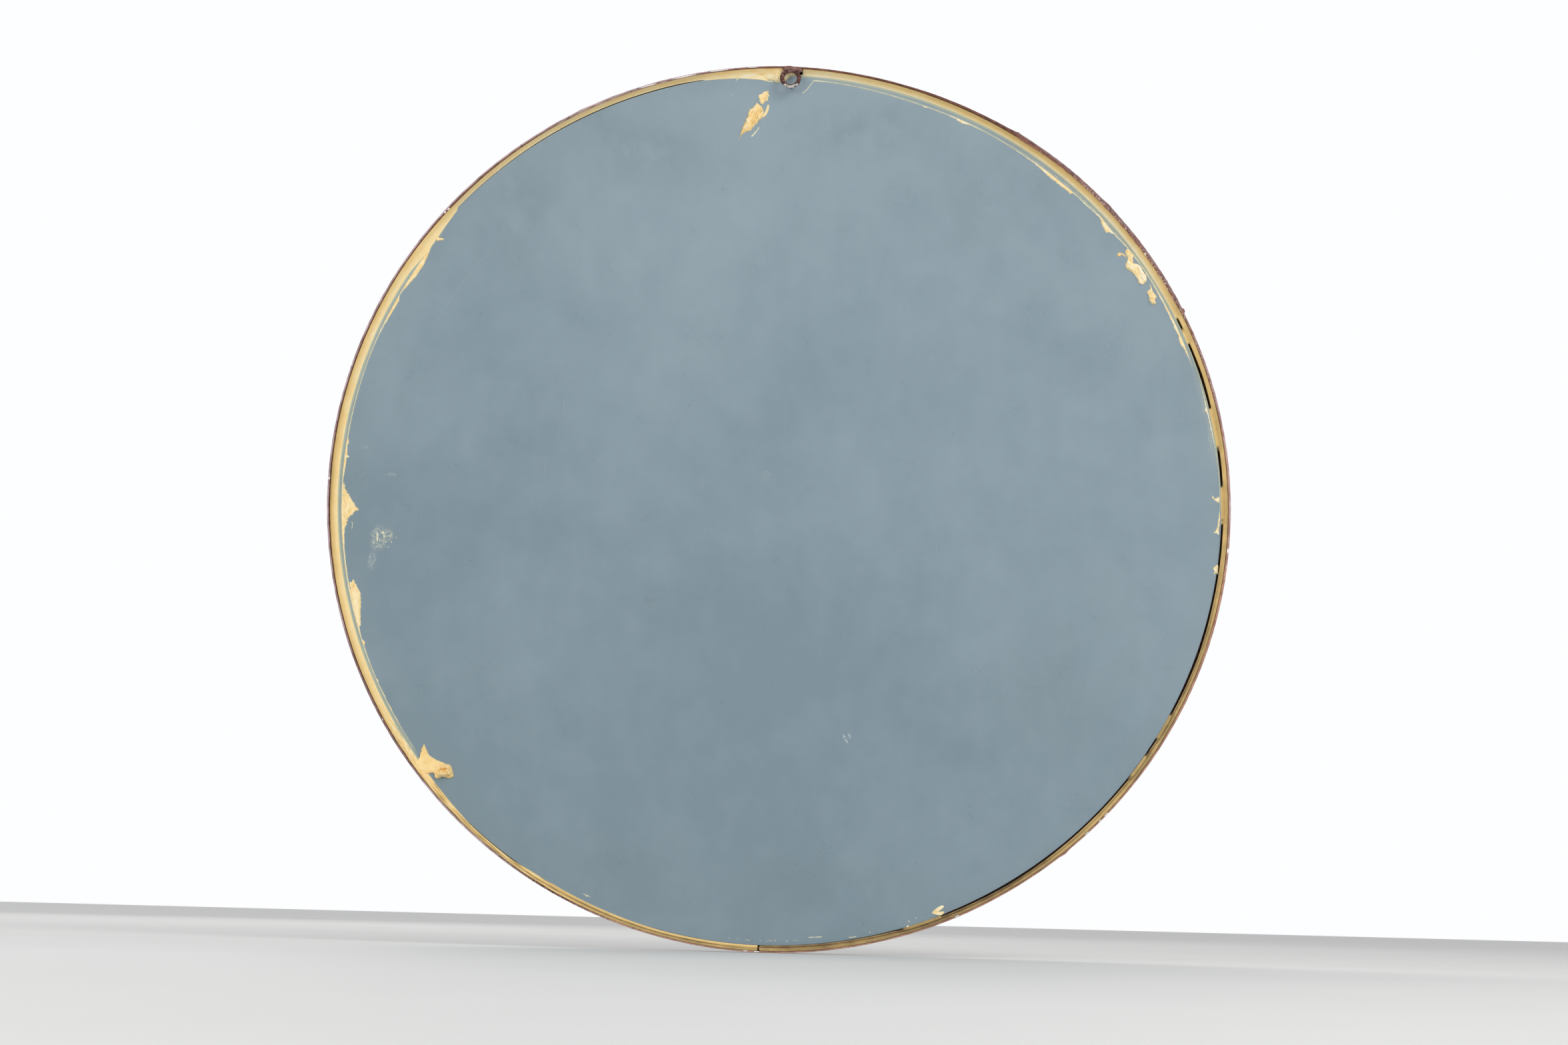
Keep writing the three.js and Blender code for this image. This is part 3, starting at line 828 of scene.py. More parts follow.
# Colour of the bead by angle, at its outer edge, middle and inner edge: 0 dark brown, 1 cream.
# Partly the sealant's own colour, partly painted light and shade: darker at the outer edge, where the
# face is steep, and lighter at the inner edge; painted shade in the olive stretches on the right and at
# the bottom, and painted light in the cream at the upper right.
LEFT_TONES = [
    (91.45, 0.68, 0.82, 0.86), (100, 0.68, 0.82, 0.86), (104, 0.7, 0.76, 0.82), (125, 0.76, 0.8, 0.84),
    (139, 0.72, 0.8, 0.82), (150, 0.64, 0.8, 0.84), (168, 0.52, 0.77, 0.84), (182, 0.24, 0.66, 0.84),
    (195, 0.5, 0.74, 0.8), (216, 0.54, 0.74, 0.78), (224, 0.6, 0.64, 0.68), (231, 0.62, 0.52, 0.5),
    (242, 0.8, 0.46, 0.46), (250, 0.5, 0.32, 0.6), (268.8, 0.32, 0.3, 0.74),
]
RIGHT_TONES = [
    (-91.1, 0.3, 0.25, 0.22), (-60, 0.24, 0.2, 0.24), (-45, 0.33, 0.37, 0.4), (-30, 0.36, 0.27, 0.3),
    (-12, 0.42, 0.36, 0.46), (3, 0.54, 0.46, 0.48), (15, 0.66, 0.47, 0.6), (27, 0.58, 0.68, 0.82),
    (34, 0.56, 0.76, 0.98), (46, 0.44, 0.7, 1), (60, 0.42, 0.6, 0.94), (75, 0.6, 0.72, 0.98),
    (88.3, 0.78, 0.86, 0.98),
]
TOP_STEPS = 24  # points across the bead's top
FACE_STEPS = 15  # of those, the steps down the sloping face where the bead has let go of the glass


def bead_section(angles, toe_table, loose):
    """Radius and depth of the bead's section at each angle; loose is 1 where it has let go."""
    t = np.linspace(0, 1, TOP_STEPS)[None, :] ** 1.1
    outer = inner_face(angles)[:, None] - 0.06
    toe = column(toe_table, 1, angles)[:, None]
    toe_y = dish_at(PAINT_TOP_R, toe, angles[:, None]) + 0.06
    r = outer + (toe - outer) * t
    y = BEAD_TOP_Y + (toe_y - BEAD_TOP_Y) * (1 - (1 - t) ** 1.55)

    edge = GLASS_R + GLASS_U * np.cos(np.radians(angles))[:, None]
    edge_y = dish_at(PAINT_TOP_R, edge - FILM_INSET, angles[:, None]) + 0.05
    under_paint = np.minimum(edge_y, toe_y - 0.02)
    outside = np.maximum(edge, toe) + 0.2
    floor_y = np.full_like(edge, BEAD_FLOOR_Y)
    inside = np.maximum(edge - FILM_INSET, toe + 0.1)
    floor_outer = np.minimum(outer, BEAD_R)
    under_r = [inside, outside, outside, floor_outer]
    under_y = [under_paint, under_paint, floor_y, floor_y]
    bonded = np.concatenate([r, *under_r], 1), np.concatenate([y, *under_y], 1)

    loose_face = column(LOOSE_FACE, 1, angles)[:, None]
    face = np.linspace(0, 1, FACE_STEPS)
    face_r = outer + (loose_face - outer) * face**1.25
    face_y = BEAD_TOP_Y - 3.4 * face
    drop = np.linspace(0, 1, TOP_STEPS - FACE_STEPS + 1)[1:]
    drop_y = face_y[-1] + (BEAD_FLOOR_Y - face_y[-1]) * drop
    base_r = [loose_face + step for step in (0.4, 0.9, 1.5)]
    loose_r = np.concatenate([face_r, np.repeat(loose_face, len(drop), 1), *base_r, floor_outer], 1)
    loose_y = np.array([*face_y, *drop_y, *[BEAD_FLOOR_Y] * 4])
    share = loose[:, None]
    return bonded[0] * (1 - share) + loose_r * share, bonded[1] * (1 - share) + loose_y * share


def add_bead(name, node, span, toe_table, tone_table, let_go, seed):
    """The bead over one span of angles. let_go(angles) is 1 where it stands off the glass."""
    angles = np.arange(span[0], span[1], 0.1)
    r, y = bead_section(angles, toe_table, let_go(angles))
    rows, columns = r.shape
    t = np.concatenate([np.linspace(0, 1, TOP_STEPS), np.ones(columns - TOP_STEPS)])[None, :]
    a = np.repeat(angles[:, None], columns, 1)
    top = (np.arange(columns) < TOP_STEPS)[None, :]
    free = top * smoothstep(0, 0.12, t) * (1 - smoothstep(0.86, 1, t))
    along = np.radians(a) * HOOP_R
    flat = np.stack([along.ravel(), (t * 6 + 0 * a).ravel()], -1)

    def marks(kind, length, width, offset, start=0):
        """Random marks of a length along the bead and a width across it."""
        return kind(flat / [length, width] + [0, start], seed + offset).reshape(r.shape)

    tool_lines = marks(noise, 55, 0.8, 0)
    chatter = np.sin((along / 2.2 + t * 4.5) * 2 * math.pi) * window(0.28, 0.6, 0.08, t)
    chatter = window(172, 208, 3, a) * chatter
    knife = window(90, 96.5, 1.2, a) * 0.6 * marks(noise, 9, 1.6, 5, start=7)
    knife = knife + window(212, 220, 2, a) * 0.8 * marks(noise, 3.5, 1.1, 6)
    folds = window(221, 243, 2, a) * marks(noise, 11, 1.2, 7)
    relief = 0.16 * tool_lines + 0.1 * marks(noise, 7, 1.6, 1) + 0.05 * marks(fractal, 1.6, 0.9, 2)
    relief = relief + 0.3 * chatter + 0.6 * knife + 0.35 * folds
    y = y + free * relief
    r = r + free * 0.25 * relief
    ends = np.minimum(a - span[0], span[1] - a) * math.radians(1) * HOOP_R
    rounding = np.clip(1 - (1 - np.clip(ends / 1.4, 0, 1)) ** 2, 0.04, 1) ** 0.5
    middle_r = (BEAD_R + column(toe_table, 1, angles)[:, None]) / 2
    r = np.where(top, middle_r + (r - middle_r) * rounding, r)
    y = np.where(top, y * (0.55 + 0.45 * rounding) + BEAD_FLOOR_Y * 0.3 * (1 - rounding), y)

    outer, middle, inner = (column(tone_table, k, angles)[:, None] for k in (1, 2, 3))
    tone = np.where(t < 0.5, outer + (middle - outer) * t * 2, middle + (inner - middle) * (t * 2 - 1))
    # Painted highlight and shade: lighter on the ridges of the tool, chatter, knife and fold marks and
    # darker in their hollows.
    tone = tone + 0.05 * tool_lines + 0.22 * chatter + 0.22 * knife + 0.3 * folds
    # Darker in a thin line where the bead meets the hoop, less at the upper left. Painted shade: where
    # the bead has let go, its face deep in the gap turns near black.
    contact = 1 - smoothstep(0.0, 0.07, t)
    tight = 1 - 0.65 * window(99, 158, 3, a)
    loose = let_go(angles)[:, None]
    tone = tone - 0.5 * contact * tight - 0.75 * smoothstep(-4.6, -6.5, y) * loose
    # Painted shade: a darker line along the middle of the concave bead, at the lower left and at the
    # lower right.
    tone = tone - 0.28 * window(-128, -94, 3, signed_angle(a)) * window(0.44, 0.56, 0.05, t)
    tone = tone - 0.16 * window(-92, -8, 3, signed_angle(a)) * window(0.4, 0.52, 0.06, t)
    wiped = np.interp(a, [40, 50, 92, 93], [0.35, 0.12, 0.12, 0.75])
    thin = wiped * smoothstep(0.88, 1.0, t) * (1 - loose)
    values = {"tone": tone, "thin": thin * top}
    faces = grid_faces(rows, columns, close_rows=False)
    add_piece(name, swept(angles, r, y), faces, SEALANT, [node], values)


def right_let_go(angles):
    """1 where the bead on the right has let go of the glass, with ragged ends."""
    shifted = angles + 0.35 * noise(angles[:, None] * 2.2, 61)
    gone = np.zeros_like(angles)
    for low, high, soft in LET_GO:
        gone = np.maximum(gone, window(low, high, soft / 2, shifted))
    return gone


# ---- paint, with the film of wiped sealant beside the bead
# Places of the thin line left where the wiping cloth stopped: angle, outer and inner radius.
RIGHT_LINE = [
    (19.8, 438, 437.6), (20.6, 438.2, 437), (21.6, 438.5, 436.6), (22.3, 438.5, 434.9),
    (22.7, 438.6, 435.2), (23.4, 438.6, 436.4), (25, 438.8, 436.4), (27, 438.9, 437), (29, 439.1, 437.6),
    (31.5, 439.3, 438.2), (34, 439.4, 438.6), (36.4, 439.2, 438.2), (38.5, 438.2, 437.3),
    (39.8, 437.6, 436.6), (40.4, 437.5, 434.6), (41.2, 437.4, 432.7), (41.9, 437.9, 434.4),
    (43, 438.4, 437), (44.5, 437.4, 436.5), (45.7, 437.2, 435.7), (46.4, 437, 436.2), (47.8, 436.9, 436),
    (48, 436.8, 433.8), (50, 436.5, 433.3), (52, 436.4, 433.2), (53.4, 436.4, 434.4), (55, 436.3, 435.2),
    (58, 436.3, 435.7), (62, 436.5, 436), (64.6, 436.5, 435.5), (65.8, 436.4, 433.6),
    (66.8, 436.4, 434.9), (68, 436.1, 435.5), (70.7, 435.9, 435.3), (71.3, 436, 434.6),
    (71.7, 435.9, 435.3), (75, 436.2, 435.7), (80, 437.3, 436.9), (84, 438.1, 437.6),
    (86.4, 438.4, 437.4), (86.9, 438.2, 437.7),
]
RIGHT_LOW_LINE = [
    (-1.2, 440.4, 440.1), (1, 440.6, 440.2), (4, 440.6, 440.3), (7.6, 440.3, 439.9), (9, 440.1, 439.2),
    (12.2, 440.1, 438.9), (12.9, 440, 437.5), (13.4, 440, 438.8), (15, 440.1, 439.4), (16.6, 440, 439.7),
]
FILM_LINE = [
    (37.2, 439, 438.4), (39, 438.9, 438.6), (43.5, 438.9, 438.6), (46, 438.7, 438.3), (50, 438.3, 438),
    (54, 438.2, 438), (58.5, 438, 437.8),
]
LEFT_LINE = [
    (145.6, 438.6, 438.2), (146.4, 438.4, 436.4), (148, 438, 433.6), (150, 437.8, 433.2),
    (152.4, 437.7, 436), (153.4, 437.7, 437.1), (154.2, 437.6, 434.8), (156.4, 437.7, 435.5),
    (159, 437.9, 437), (163, 437.9, 437.4), (170, 437.5, 436.9), (173.9, 437.4, 436.7),
    (174.5, 437.4, 434.7), (175, 437.4, 436), (176.2, 437.3, 434.9), (178, 437.3, 435.3),
    (179.6, 437.3, 436.4), (182, 437.2, 435.6), (186, 437.2, 434.4), (188.6, 437.2, 435.8),
    (193, 437.4, 436.2), (199, 437.6, 435.6), (200.9, 437.8, 437.1), (201.5, 437.8, 434.9),
    (201.9, 437.8, 436.9), (203.4, 437.9, 437.1), (206.4, 438, 437.4), (206.8, 438, 436.3),
    (207.2, 438, 437.4), (209, 438, 436.9), (209.6, 438, 437.5), (210.9, 438, 436.9), (211.4, 438, 437.5),
    (212.6, 438, 437.1), (213.2, 438.1, 437.7), (217.2, 438.2, 437.9),
]


# Wiped sealant beside the bead, by angle: how far it reaches from the bead, and how strong it is.
LEFT_FILM = [(140, 0.5, 0.1), (150, 2, 0.8), (180, 2.4, 0.8), (217, 2.2, 0.8), (222, 0.5, 0.1)]
RIGHT_FILM = [
    (0, 1.1, 0.5), (20, 1.6, 0.7667), (30, 2.2, 0.9), (60, 2.6, 0.9), (75, 3, 0.9), (89, 2.2, 0.9),
]
RIGHT_SIDE_END = 92  # the right side's tables serve from 0 to this angle and the left side's the rest


def by_side(angle, left, right, index):
    """One column against the angle, from the table of the side that the angle is on."""
    turn = np.asarray(angle) % 360
    return np.where(turn > RIGHT_SIDE_END, column(left, index, turn), column(right, index, turn))


def film_amount(angle, radius):
    """How much wiped sealant lies on the paint at a place, from 0 to 1."""
    a = signed_angle(angle)
    turn = np.asarray(angle) % 360
    on_left_bead = (turn > LEFT_BEAD[0]) & (turn < LEFT_BEAD[1])
    toe = np.where(on_left_bead, column(LEFT_TOE, 1, turn), column(RIGHT_TOE, 1, a))
    reach = by_side(angle, LEFT_FILM, RIGHT_FILM, 1)
    strong = by_side(angle, LEFT_FILM, RIGHT_FILM, 2)
    line_r = by_side(angle, LEFT_LINE, RIGHT_LINE, 1)
    beside_bead = strong * np.clip(1 - (toe - radius) / reach, 0, 1) ** 1.2 * (radius < toe + 3)
    has_line = np.maximum(window(19, 87, 0.6, a), window(144, 217, 1.5, turn))
    beside_line = 0.42 * has_line * np.exp(-(((radius - line_r - 0.1) / 0.9) ** 2))
    haze = 0.12 * window(6, 19, 2, a) * window(436, 441, 2, radius)
    return np.clip(np.maximum(np.maximum(beside_bead, beside_line), haze), 0, 1)


def add_paint():
    """The paint, with closer rings of points where the film beside the bead has to show."""
    coarse = np.arange(5, 420, 10)
    back = np.concatenate([coarse, np.arange(420, GLASS_R - 0.5, 0.55)])
    edge_r = GLASS_R - FILM_INSET
    points, faces, u, v = disc_shell(PAINT_R, PAINT_TOP_R, edge_r, coarse[::5], back, 960)
    angle = np.degrees(np.arctan2(v, u))
    film = film_amount(angle, np.hypot(u, v))
    add_piece("paint", points, faces, PAINT_FINISH, ["backing_paint"], {"film": film})


# ---- smears, lines and lumps of sealant on the paint
def add_line(name, table, height, tone, seed, ragged=0.35):
    """A thin ragged line of sealant on the paint, swept between the radii of a table."""
    angles = np.arange(table[0][0], table[-1][0], 0.06)
    outer = column(table, 1, angles)
    inner = column(table, 2, angles)
    along = angles[:, None] * 7.7
    inner = inner + ragged * fractal(along / 1.6, seed, 4) * np.clip((outer - inner) / 1.2, 0.35, 1)
    outer = outer + 0.14 * fractal(along / 2.4, seed + 4, 4)
    gap = np.maximum(outer - inner, 0.2)
    across = np.linspace(0, 1, 7)
    r_top = outer[:, None] - gap[:, None] * across
    hump = np.sin(across * math.pi) ** 0.6
    thick = height * (0.5 + 0.5 * np.clip(gap / 2, 0, 1)) * (1 + 0.35 * noise(along / 4, seed + 8))
    r = np.concatenate([r_top, r_top[:, ::-1]], 1)
    lift = np.concatenate([0.04 + thick[:, None] * hump, np.full_like(r_top, 0.01)], 1)
    u, v = polar(r, angles[:, None])
    points = world(u, v, dish(PAINT_TOP_R, u, v) + lift).reshape(-1, 3)
    narrow = 1 - smoothstep(0.7, 2.2, gap)[:, None]
    thin = np.clip(1.0 - lift / (height * 0.8), 0, 1) * 0.8
    thin = np.maximum(thin, 0.8 * narrow)
    tones = tone + 0.12 * noise(np.stack([u.ravel(), v.ravel()], -1) / 3, seed + 6)
    tones = tones + 0.1 * np.repeat(narrow, lift.shape[1], 1).ravel()
    faces = grid_faces(*r.shape, close_rows=False)
    add_piece(name, points, faces, SEALANT, (), {"tone": tones, "thin": thin})


def closed_curve(corners, spacing):
    """A smooth closed line through the corners."""
    p = np.array(corners, float)
    points = []
    for k in range(len(p)):
        a, b, c, d = p[k - 1], p[k], p[(k + 1) % len(p)], p[(k + 2) % len(p)]
        count = max(2, math.ceil(np.linalg.norm(c - b) / spacing))
        for t in np.arange(count) / count:
            swing = (c - a) * t + (2 * a - 5 * b + 4 * c - d) * t**2 + (3 * b - a - 3 * c + d) * t**3
            points.append(b + swing / 2)
    return np.array(points)


def edge_distance(points, outline):
    """Distance of each point to a closed outline, and whether it is inside."""
    start, end = outline, np.roll(outline, -1, 0)
    side = end - start
    offset = points[:, None] - start[None]
    share = np.clip((offset * side).sum(-1) / np.maximum((side**2).sum(-1), 1e-12), 0, 1)
    distance = np.linalg.norm(offset - share[..., None] * side, axis=-1).min(1)
    rises = (start[:, 1] > points[:, None, 1]) != (end[:, 1] > points[:, None, 1])
    slope = side[:, 0] / np.where(side[:, 1] == 0, 1e-9, side[:, 1])
    crosses = rises & (points[:, None, 0] < start[:, 0] + (points[:, None, 1] - start[:, 1]) * slope)
    return distance, crosses.sum(1) % 2 == 1


def add_patch(name, node, at, outline, height, seed, rounding=1.4, ridges=0.3, lumps=0.3, grain=0.0,
              tone=0.68, knob=None, spacing=0.4, ragged=0.25):
    """A smear or lump of sealant on the paint, from its outline about a place.

    grain is the direction of its ridges in degrees; knob is an extra cracked lump (u, v, radius, height).
    """
    rim = closed_curve(outline, spacing)
    rim = rim + ragged * np.stack([fractal(rim / 1.7, seed), fractal(rim / 1.7, seed + 3)], -1)
    low, high = rim.min(0), rim.max(0)
    steps = (np.arange(start, end, spacing) for start, end in zip(low, high))
    grid = np.stack(np.meshgrid(*steps), -1).reshape(-1, 2)
    shift = np.stack([hashed(np.round(grid * 100), k) for k in (3, 4)], -1)
    grid = grid + spacing * 0.25 * (2 * shift - 1)
    away, inside = edge_distance(grid, rim)
    grid = grid[inside & (away > spacing * 0.45)]
    flat = np.concatenate([rim, grid])
    made = delaunay_2d_cdt([Vector(p) for p in flat], [], [list(range(len(rim)))], 1, 1e-5)
    flat = np.array([tuple(p) for p in made[0]])
    triangles = [list(f) for f in made[2]]

    away, _ = edge_distance(flat, rim)
    turn = math.radians(grain)
    along = flat @ np.array([math.cos(turn), math.sin(turn)])
    across = flat @ np.array([-math.sin(turn), math.cos(turn)])
    dome = np.sqrt(1 - (1 - np.clip(away / rounding, 0, 1)) ** 2)
    swirl = 0.8 * noise(flat / 6, seed + 15)
    ridge = noise(np.stack([along / 7, across / 1.3 + swirl], -1), seed + 5)
    ridge = ridge + 0.5 * noise(np.stack([along / 4, across / 0.7 + swirl], -1), seed + 6)
    bumpy = fractal(flat / 3.0, seed + 7)
    lift = height * dome * np.clip(1 + ridges * ridge + lumps * bumpy, 0.25, 2)
    if knob:
        ku, kv, kr, kh = knob
        near = np.exp(-(((flat[:, 0] - ku) ** 2 + (flat[:, 1] - kv) ** 2) / kr**2))
        cells = cracked(flat / 3.6, seed + 11)
        cracks = np.clip(1.1 - 1.5 * cells**2, 0.1, 1.1)
        lift = lift + kh * near * dome * cracks + 0.25 * near * dome * fractal(flat / 1.2, seed + 13)
    lift = np.maximum(lift, 0.03)

    count = len(flat)
    sides = {}
    for a, b, c in triangles:
        for edge in ((a, b), (b, c), (c, a)):
            if not sides.pop(edge[::-1], False):
                sides[edge] = True
    faces = triangles + [[c + count, b + count, a + count] for a, b, c in triangles]
    faces += [[b, a, a + count, b + count] for a, b in sides]
    u, v = flat[:, 0] + at[0], flat[:, 1] + at[1]
    base = dish(PAINT_TOP_R, u, v)
    points = np.concatenate([world(u, v, base + lift + 0.01), world(u, v, base + 0.01)])
    # Painted highlight and shade: lighter on the ridges and darker in the creases.
    ridge_tone = 0.16 * ridge - 0.2 * np.clip(-ridge - 0.45, 0, 1)
    tones = tone + min(1, 3 * ridges) * ridge_tone + 0.06 * bumpy
    # Painted shade: darker in the knob's cracks.
    if knob:
        tones = tones - 0.17 * near * smoothstep(0.5, 0.8, cells)
    thin = np.exp(-lift / 0.3) * 0.9
    values = {"tone": np.tile(tones, 2), "thin": np.tile(thin, 2)}
    add_piece(name, points, faces, SEALANT, [node] if node else (), values)


# Outlines of the smears and lumps: u and v in millimetres, most of them about a place of their own.
DOLLOP = [
    (-15.4, 6.1), (-14.3, 10.1), (-13.3, 16.1), (-11.5, 20.6), (-8.8, 16.3), (-5.8, 10.9), (-1.7, 7.6),
    (5.3, 4.4), (10.2, 2.6), (15.1, 1.3), (17.3, -2.6), (18.6, -7.5), (18.4, -10.9), (13.2, -11.6),
    (8.3, -10.8), (4.2, -12.7), (1.7, -11.1), (0, -7.7), (-3.4, -7.3), (-8.1, -8), (-13.1, -6),
    (-17.6, -3.6), (-20.6, -0.6), (-19, 3.2),
]
UPPER_RIGHT = [
    (-6.7, 18.2), (-4.2, 15.1), (-1.1, 10.9), (-1.5, 8.4), (-0.9, 3.2), (1.6, 3.1), (6.1, -0.1),
    (8.2, -4.3), (11.7, -9.5), (12.3, -14.6), (10.9, -17.2), (7.9, -18.8), (4.9, -17), (1.8, -11.2),
    (-2.2, -6), (-6.8, -2.7), (-8.9, 1.4), (-8.4, 4.5), (-7, 8.5), (-8.6, 12.2), (-9.2, 15.8),
]
UPPER_RIGHT_LOW = [
    (-2.3, 11), (-1.8, 6.4), (-4.7, 3.4), (-3.1, -1.3), (-2.1, -6.5), (1, -9.6), (4.4, -9.2), (3.4, -5.1),
    (4.8, -1.6), (1.3, 3.2), (-0.8, 9.4),
]
TOP_SMEAR = [
    (-52.2, 376.4), (-49.8, 383.4), (-47.5, 390.4), (-44.2, 398.4), (-41.8, 406.3), (-38.8, 408.4),
    (-34.4, 413.4), (-31.9, 412.5), (-27.7, 407.7), (-27.1, 403.8), (-27.5, 399.9), (-31.4, 395.8),
    (-35.3, 390.8), (-39.3, 385.8), (-42.3, 384.7), (-47.3, 382.5), (-50.7, 378.5),
]
TOP_TIP = [
    (-32.6, 420.3), (-28.1, 424.3), (-22.6, 426), (-22, 421.6), (-22.9, 416.7), (-26.8, 413.6),
    (-29.3, 412.1), (-32, 416.4),
]
TOP_SPIKE = [(-27.8, 400.4), (-25, 406.5), (-22.9, 412.3), (-21.4, 410.4), (-22.6, 404.6), (-26.2, 399.4)]
LUMP_UPPER_RIGHT_HIGH = [(-4, 9), (-1.5, 3), (4, -5), (1, -7), (-2, -2), (-4.5, 4)]
CURL_UPPER_RIGHT = [
    (-4.4, 0.4), (-2.6, 2.5), (0.6, 1.7), (3.2, 0.2), (5.2, -3.4), (2.6, -1.4), (0.2, -0.2), (-2.4, -1.6),
]
SMEAR_LEFT = [
    (-6.3, 28), (-4.6, 24), (-2.1, 19), (1.3, 14), (4.6, 9.4), (6.4, 5.6), (9.5, 2.4), (6.8, 0.2),
    (4.2, -3.3), (1.8, -5.4), (0, -9.5), (-1.2, -16), (-3.6, -16), (-5, -4.5), (-6.4, 12),
]
SMEAR_LEFT_LOW = [
    (-7.2, 18.6), (-5.4, 19.4), (-3.8, 22.2), (-1.2, 17.6), (2.2, 12), (4.3, 7), (5, -4), (5.4, -14),
    (6.4, -23), (4.2, -24.6), (1.2, -17), (-3.3, 0.3), (-5.9, 10.2),
]
BEAD_NUB = [(-3.2, 2.4), (0.2, 1), (3.2, 0.9), (4.6, -0.2), (3.6, -1.4), (0.6, -1.7), (-2.2, -2.6)]
BEAD_LOBE = [
    (-7, -4.5), (-3, -5.5), (2.5, -4.4), (6, -1.6), (9, 1.2), (13, 2.4), (13.6, 5.6), (5, 6.4), (-7, 6.2),
]
DAB_RIGHT = [
    (-4.6, 3.8), (-3.4, 1.6), (-1.4, 1), (0.4, 2.6), (1.4, 1.8), (1.2, -3.4), (-0.4, -3), (-3.2, -0.6),
    (-5.4, 1.6),
]
DAB_RIGHT_LOW = [
    (1.4, 12), (0.2, 4), (-0.6, -2), (-2.2, -6.4), (-4.4, -9.4), (-1.6, -9.8), (0.4, -11.4), (1, -4),
    (2, 6),
]
DAB_RIGHT_LOWER = [
    (3.2, 5.2), (0.6, 3.6), (-1.8, 1.2), (-0.6, -1.2), (-1.2, -5), (1.2, -3.4), (2.8, -4.6), (3.2, -0.6),
]
DAB_BOTTOM = [
    (-7.8, -2.2), (-3, 2.8), (1.9, 5.3), (4, 3.9), (1.9, 1.4), (-1, -1), (2.8, -0.5), (4.3, -1.4),
    (0.9, -4.3), (-4, -4),
]


def add_smears():
    add_patch("dollop", "sealant_dollop_lower_left", (-330.1, -279), DOLLOP, 2.0, 101, rounding=3.2,
              ridges=0.06, lumps=0.1, grain=-40, tone=0.76, knob=(10.5, -6.2, 8.0, 6.5), ragged=0.35)
    add_patch("lump_upper_right", "sealant_lump_upper_right", (355.9, 246.8), UPPER_RIGHT, 1.7, 111,
              rounding=2.2, ridges=0.45, lumps=0.3, grain=-55, tone=0.86, ragged=0.4, spacing=0.45)
    add_patch("lump_upper_right_low", "sealant_lump_upper_right_low", (373.5, 217.2), UPPER_RIGHT_LOW,
              1.8, 121, rounding=2.0, ridges=0.35, lumps=0.45, grain=-60, tone=0.84,
              knob=(0.5, -5.5, 3.2, 1.2), spacing=0.55)
    add_patch("lump_upper_right_high", "sealant_lump_upper_right_high", (326.2, 289),
              LUMP_UPPER_RIGHT_HIGH, 0.9, 131, tone=0.8, spacing=0.55)
    add_patch("curl_upper_right", "sealant_curl_upper_right", (342.9, 258.9), CURL_UPPER_RIGHT, 0.9, 141,
              rounding=1.0, ragged=0.15)
    add_patch("smear_top", "sealant_smear_top", (0, 0), TOP_SMEAR, 1.7, 151, rounding=1.9, ridges=0.9,
              lumps=0.25, grain=60, tone=0.74, ragged=0.6)
    add_patch("smear_top_tip", "sealant_smear_top_tip", (0, 0), TOP_TIP, 1.1, 161, rounding=1.6,
              ridges=0.8, grain=60, tone=0.82, ragged=0.6)
    add_patch("smear_top_spike", None, (0, 0), TOP_SPIKE, 0.5, 171, rounding=0.8, ridges=0.2, grain=65,
              tone=0.78, ragged=0.12)
    add_patch("smear_left", "sealant_smear_left", (-429.5, -28.3), SMEAR_LEFT, 0.75, 181, rounding=1.6,
              ridges=0.5, lumps=0.2, grain=90, tone=0.78, ragged=0.8, spacing=0.45)
    add_patch("smear_left_low", "sealant_smear_left_low", (-416.5, -119.1), SMEAR_LEFT_LOW, 0.75, 191,
              rounding=1.6, ridges=0.4, lumps=0.2, grain=96, tone=0.8, ragged=0.4, spacing=0.45)
    add_patch("bead_nub", None, (-354, 256.4), BEAD_NUB, 1.0, 291, rounding=0.9, tone=0.78, ragged=0.06,
              spacing=0.35)
    add_patch("bead_lobe", None, (-9, 440), BEAD_LOBE, 4.4, 271, rounding=4.5, ridges=0.12, lumps=0.12,
              tone=0.84, spacing=0.55)
    add_patch("dab_right", "sealant_dab_right", (438.3, 6.5), DAB_RIGHT, 0.45, 201, rounding=0.9,
              tone=0.86, ragged=0.15)
    add_patch("dab_right_low", "sealant_dab_right_low", (438.4, -18.4), DAB_RIGHT_LOW, 0.4, 211,
              rounding=0.8, tone=0.84, ragged=0.2)
    add_patch("dab_right_lower", None, (434.6, -65), DAB_RIGHT_LOWER, 0.5, 221, rounding=0.9, tone=0.84,
              ragged=0.2)
    add_patch("dab_bottom", "sealant_dab_bottom", (165.6, -406), DAB_BOTTOM, 0.75, 231, rounding=1.2,
              tone=0.84, ragged=0.15, spacing=0.45)
    add_line("smear_line_right", RIGHT_LINE, 0.5, 0.88, 241)
    add_line("film_line_right", FILM_LINE, 0.15, 0.98, 281, ragged=0.5)
    add_line("smear_line_right_low", RIGHT_LOW_LINE, 0.4, 0.88, 251)
    add_line("smear_line_left", LEFT_LINE, 0.45, 0.8, 261, ragged=0.18)


# Single specks of paint and sealant: u, v and size.
SPECKS = [
    (-433.7, 27.1, 1.7), (-386.6, -56.9, 0.7), (-382.4, -52, 0.6), (-389.3, -62.1, 0.6),
    (-395.1, -48, 1.2), (-392, -57.1, 0.7), (-397.6, -60.4, 0.7), (142.9, -413.6, 0.6),
    (135.8, -416.6, 0.8), (98.2, -428, 0.7), (134.5, -421.6, 1.3), (137, -422.4, 1.2),
    (-176.4, -400.6, 0.8), (-28.6, 417.5, 0.6), (-60.5, 421, 0.5),
]
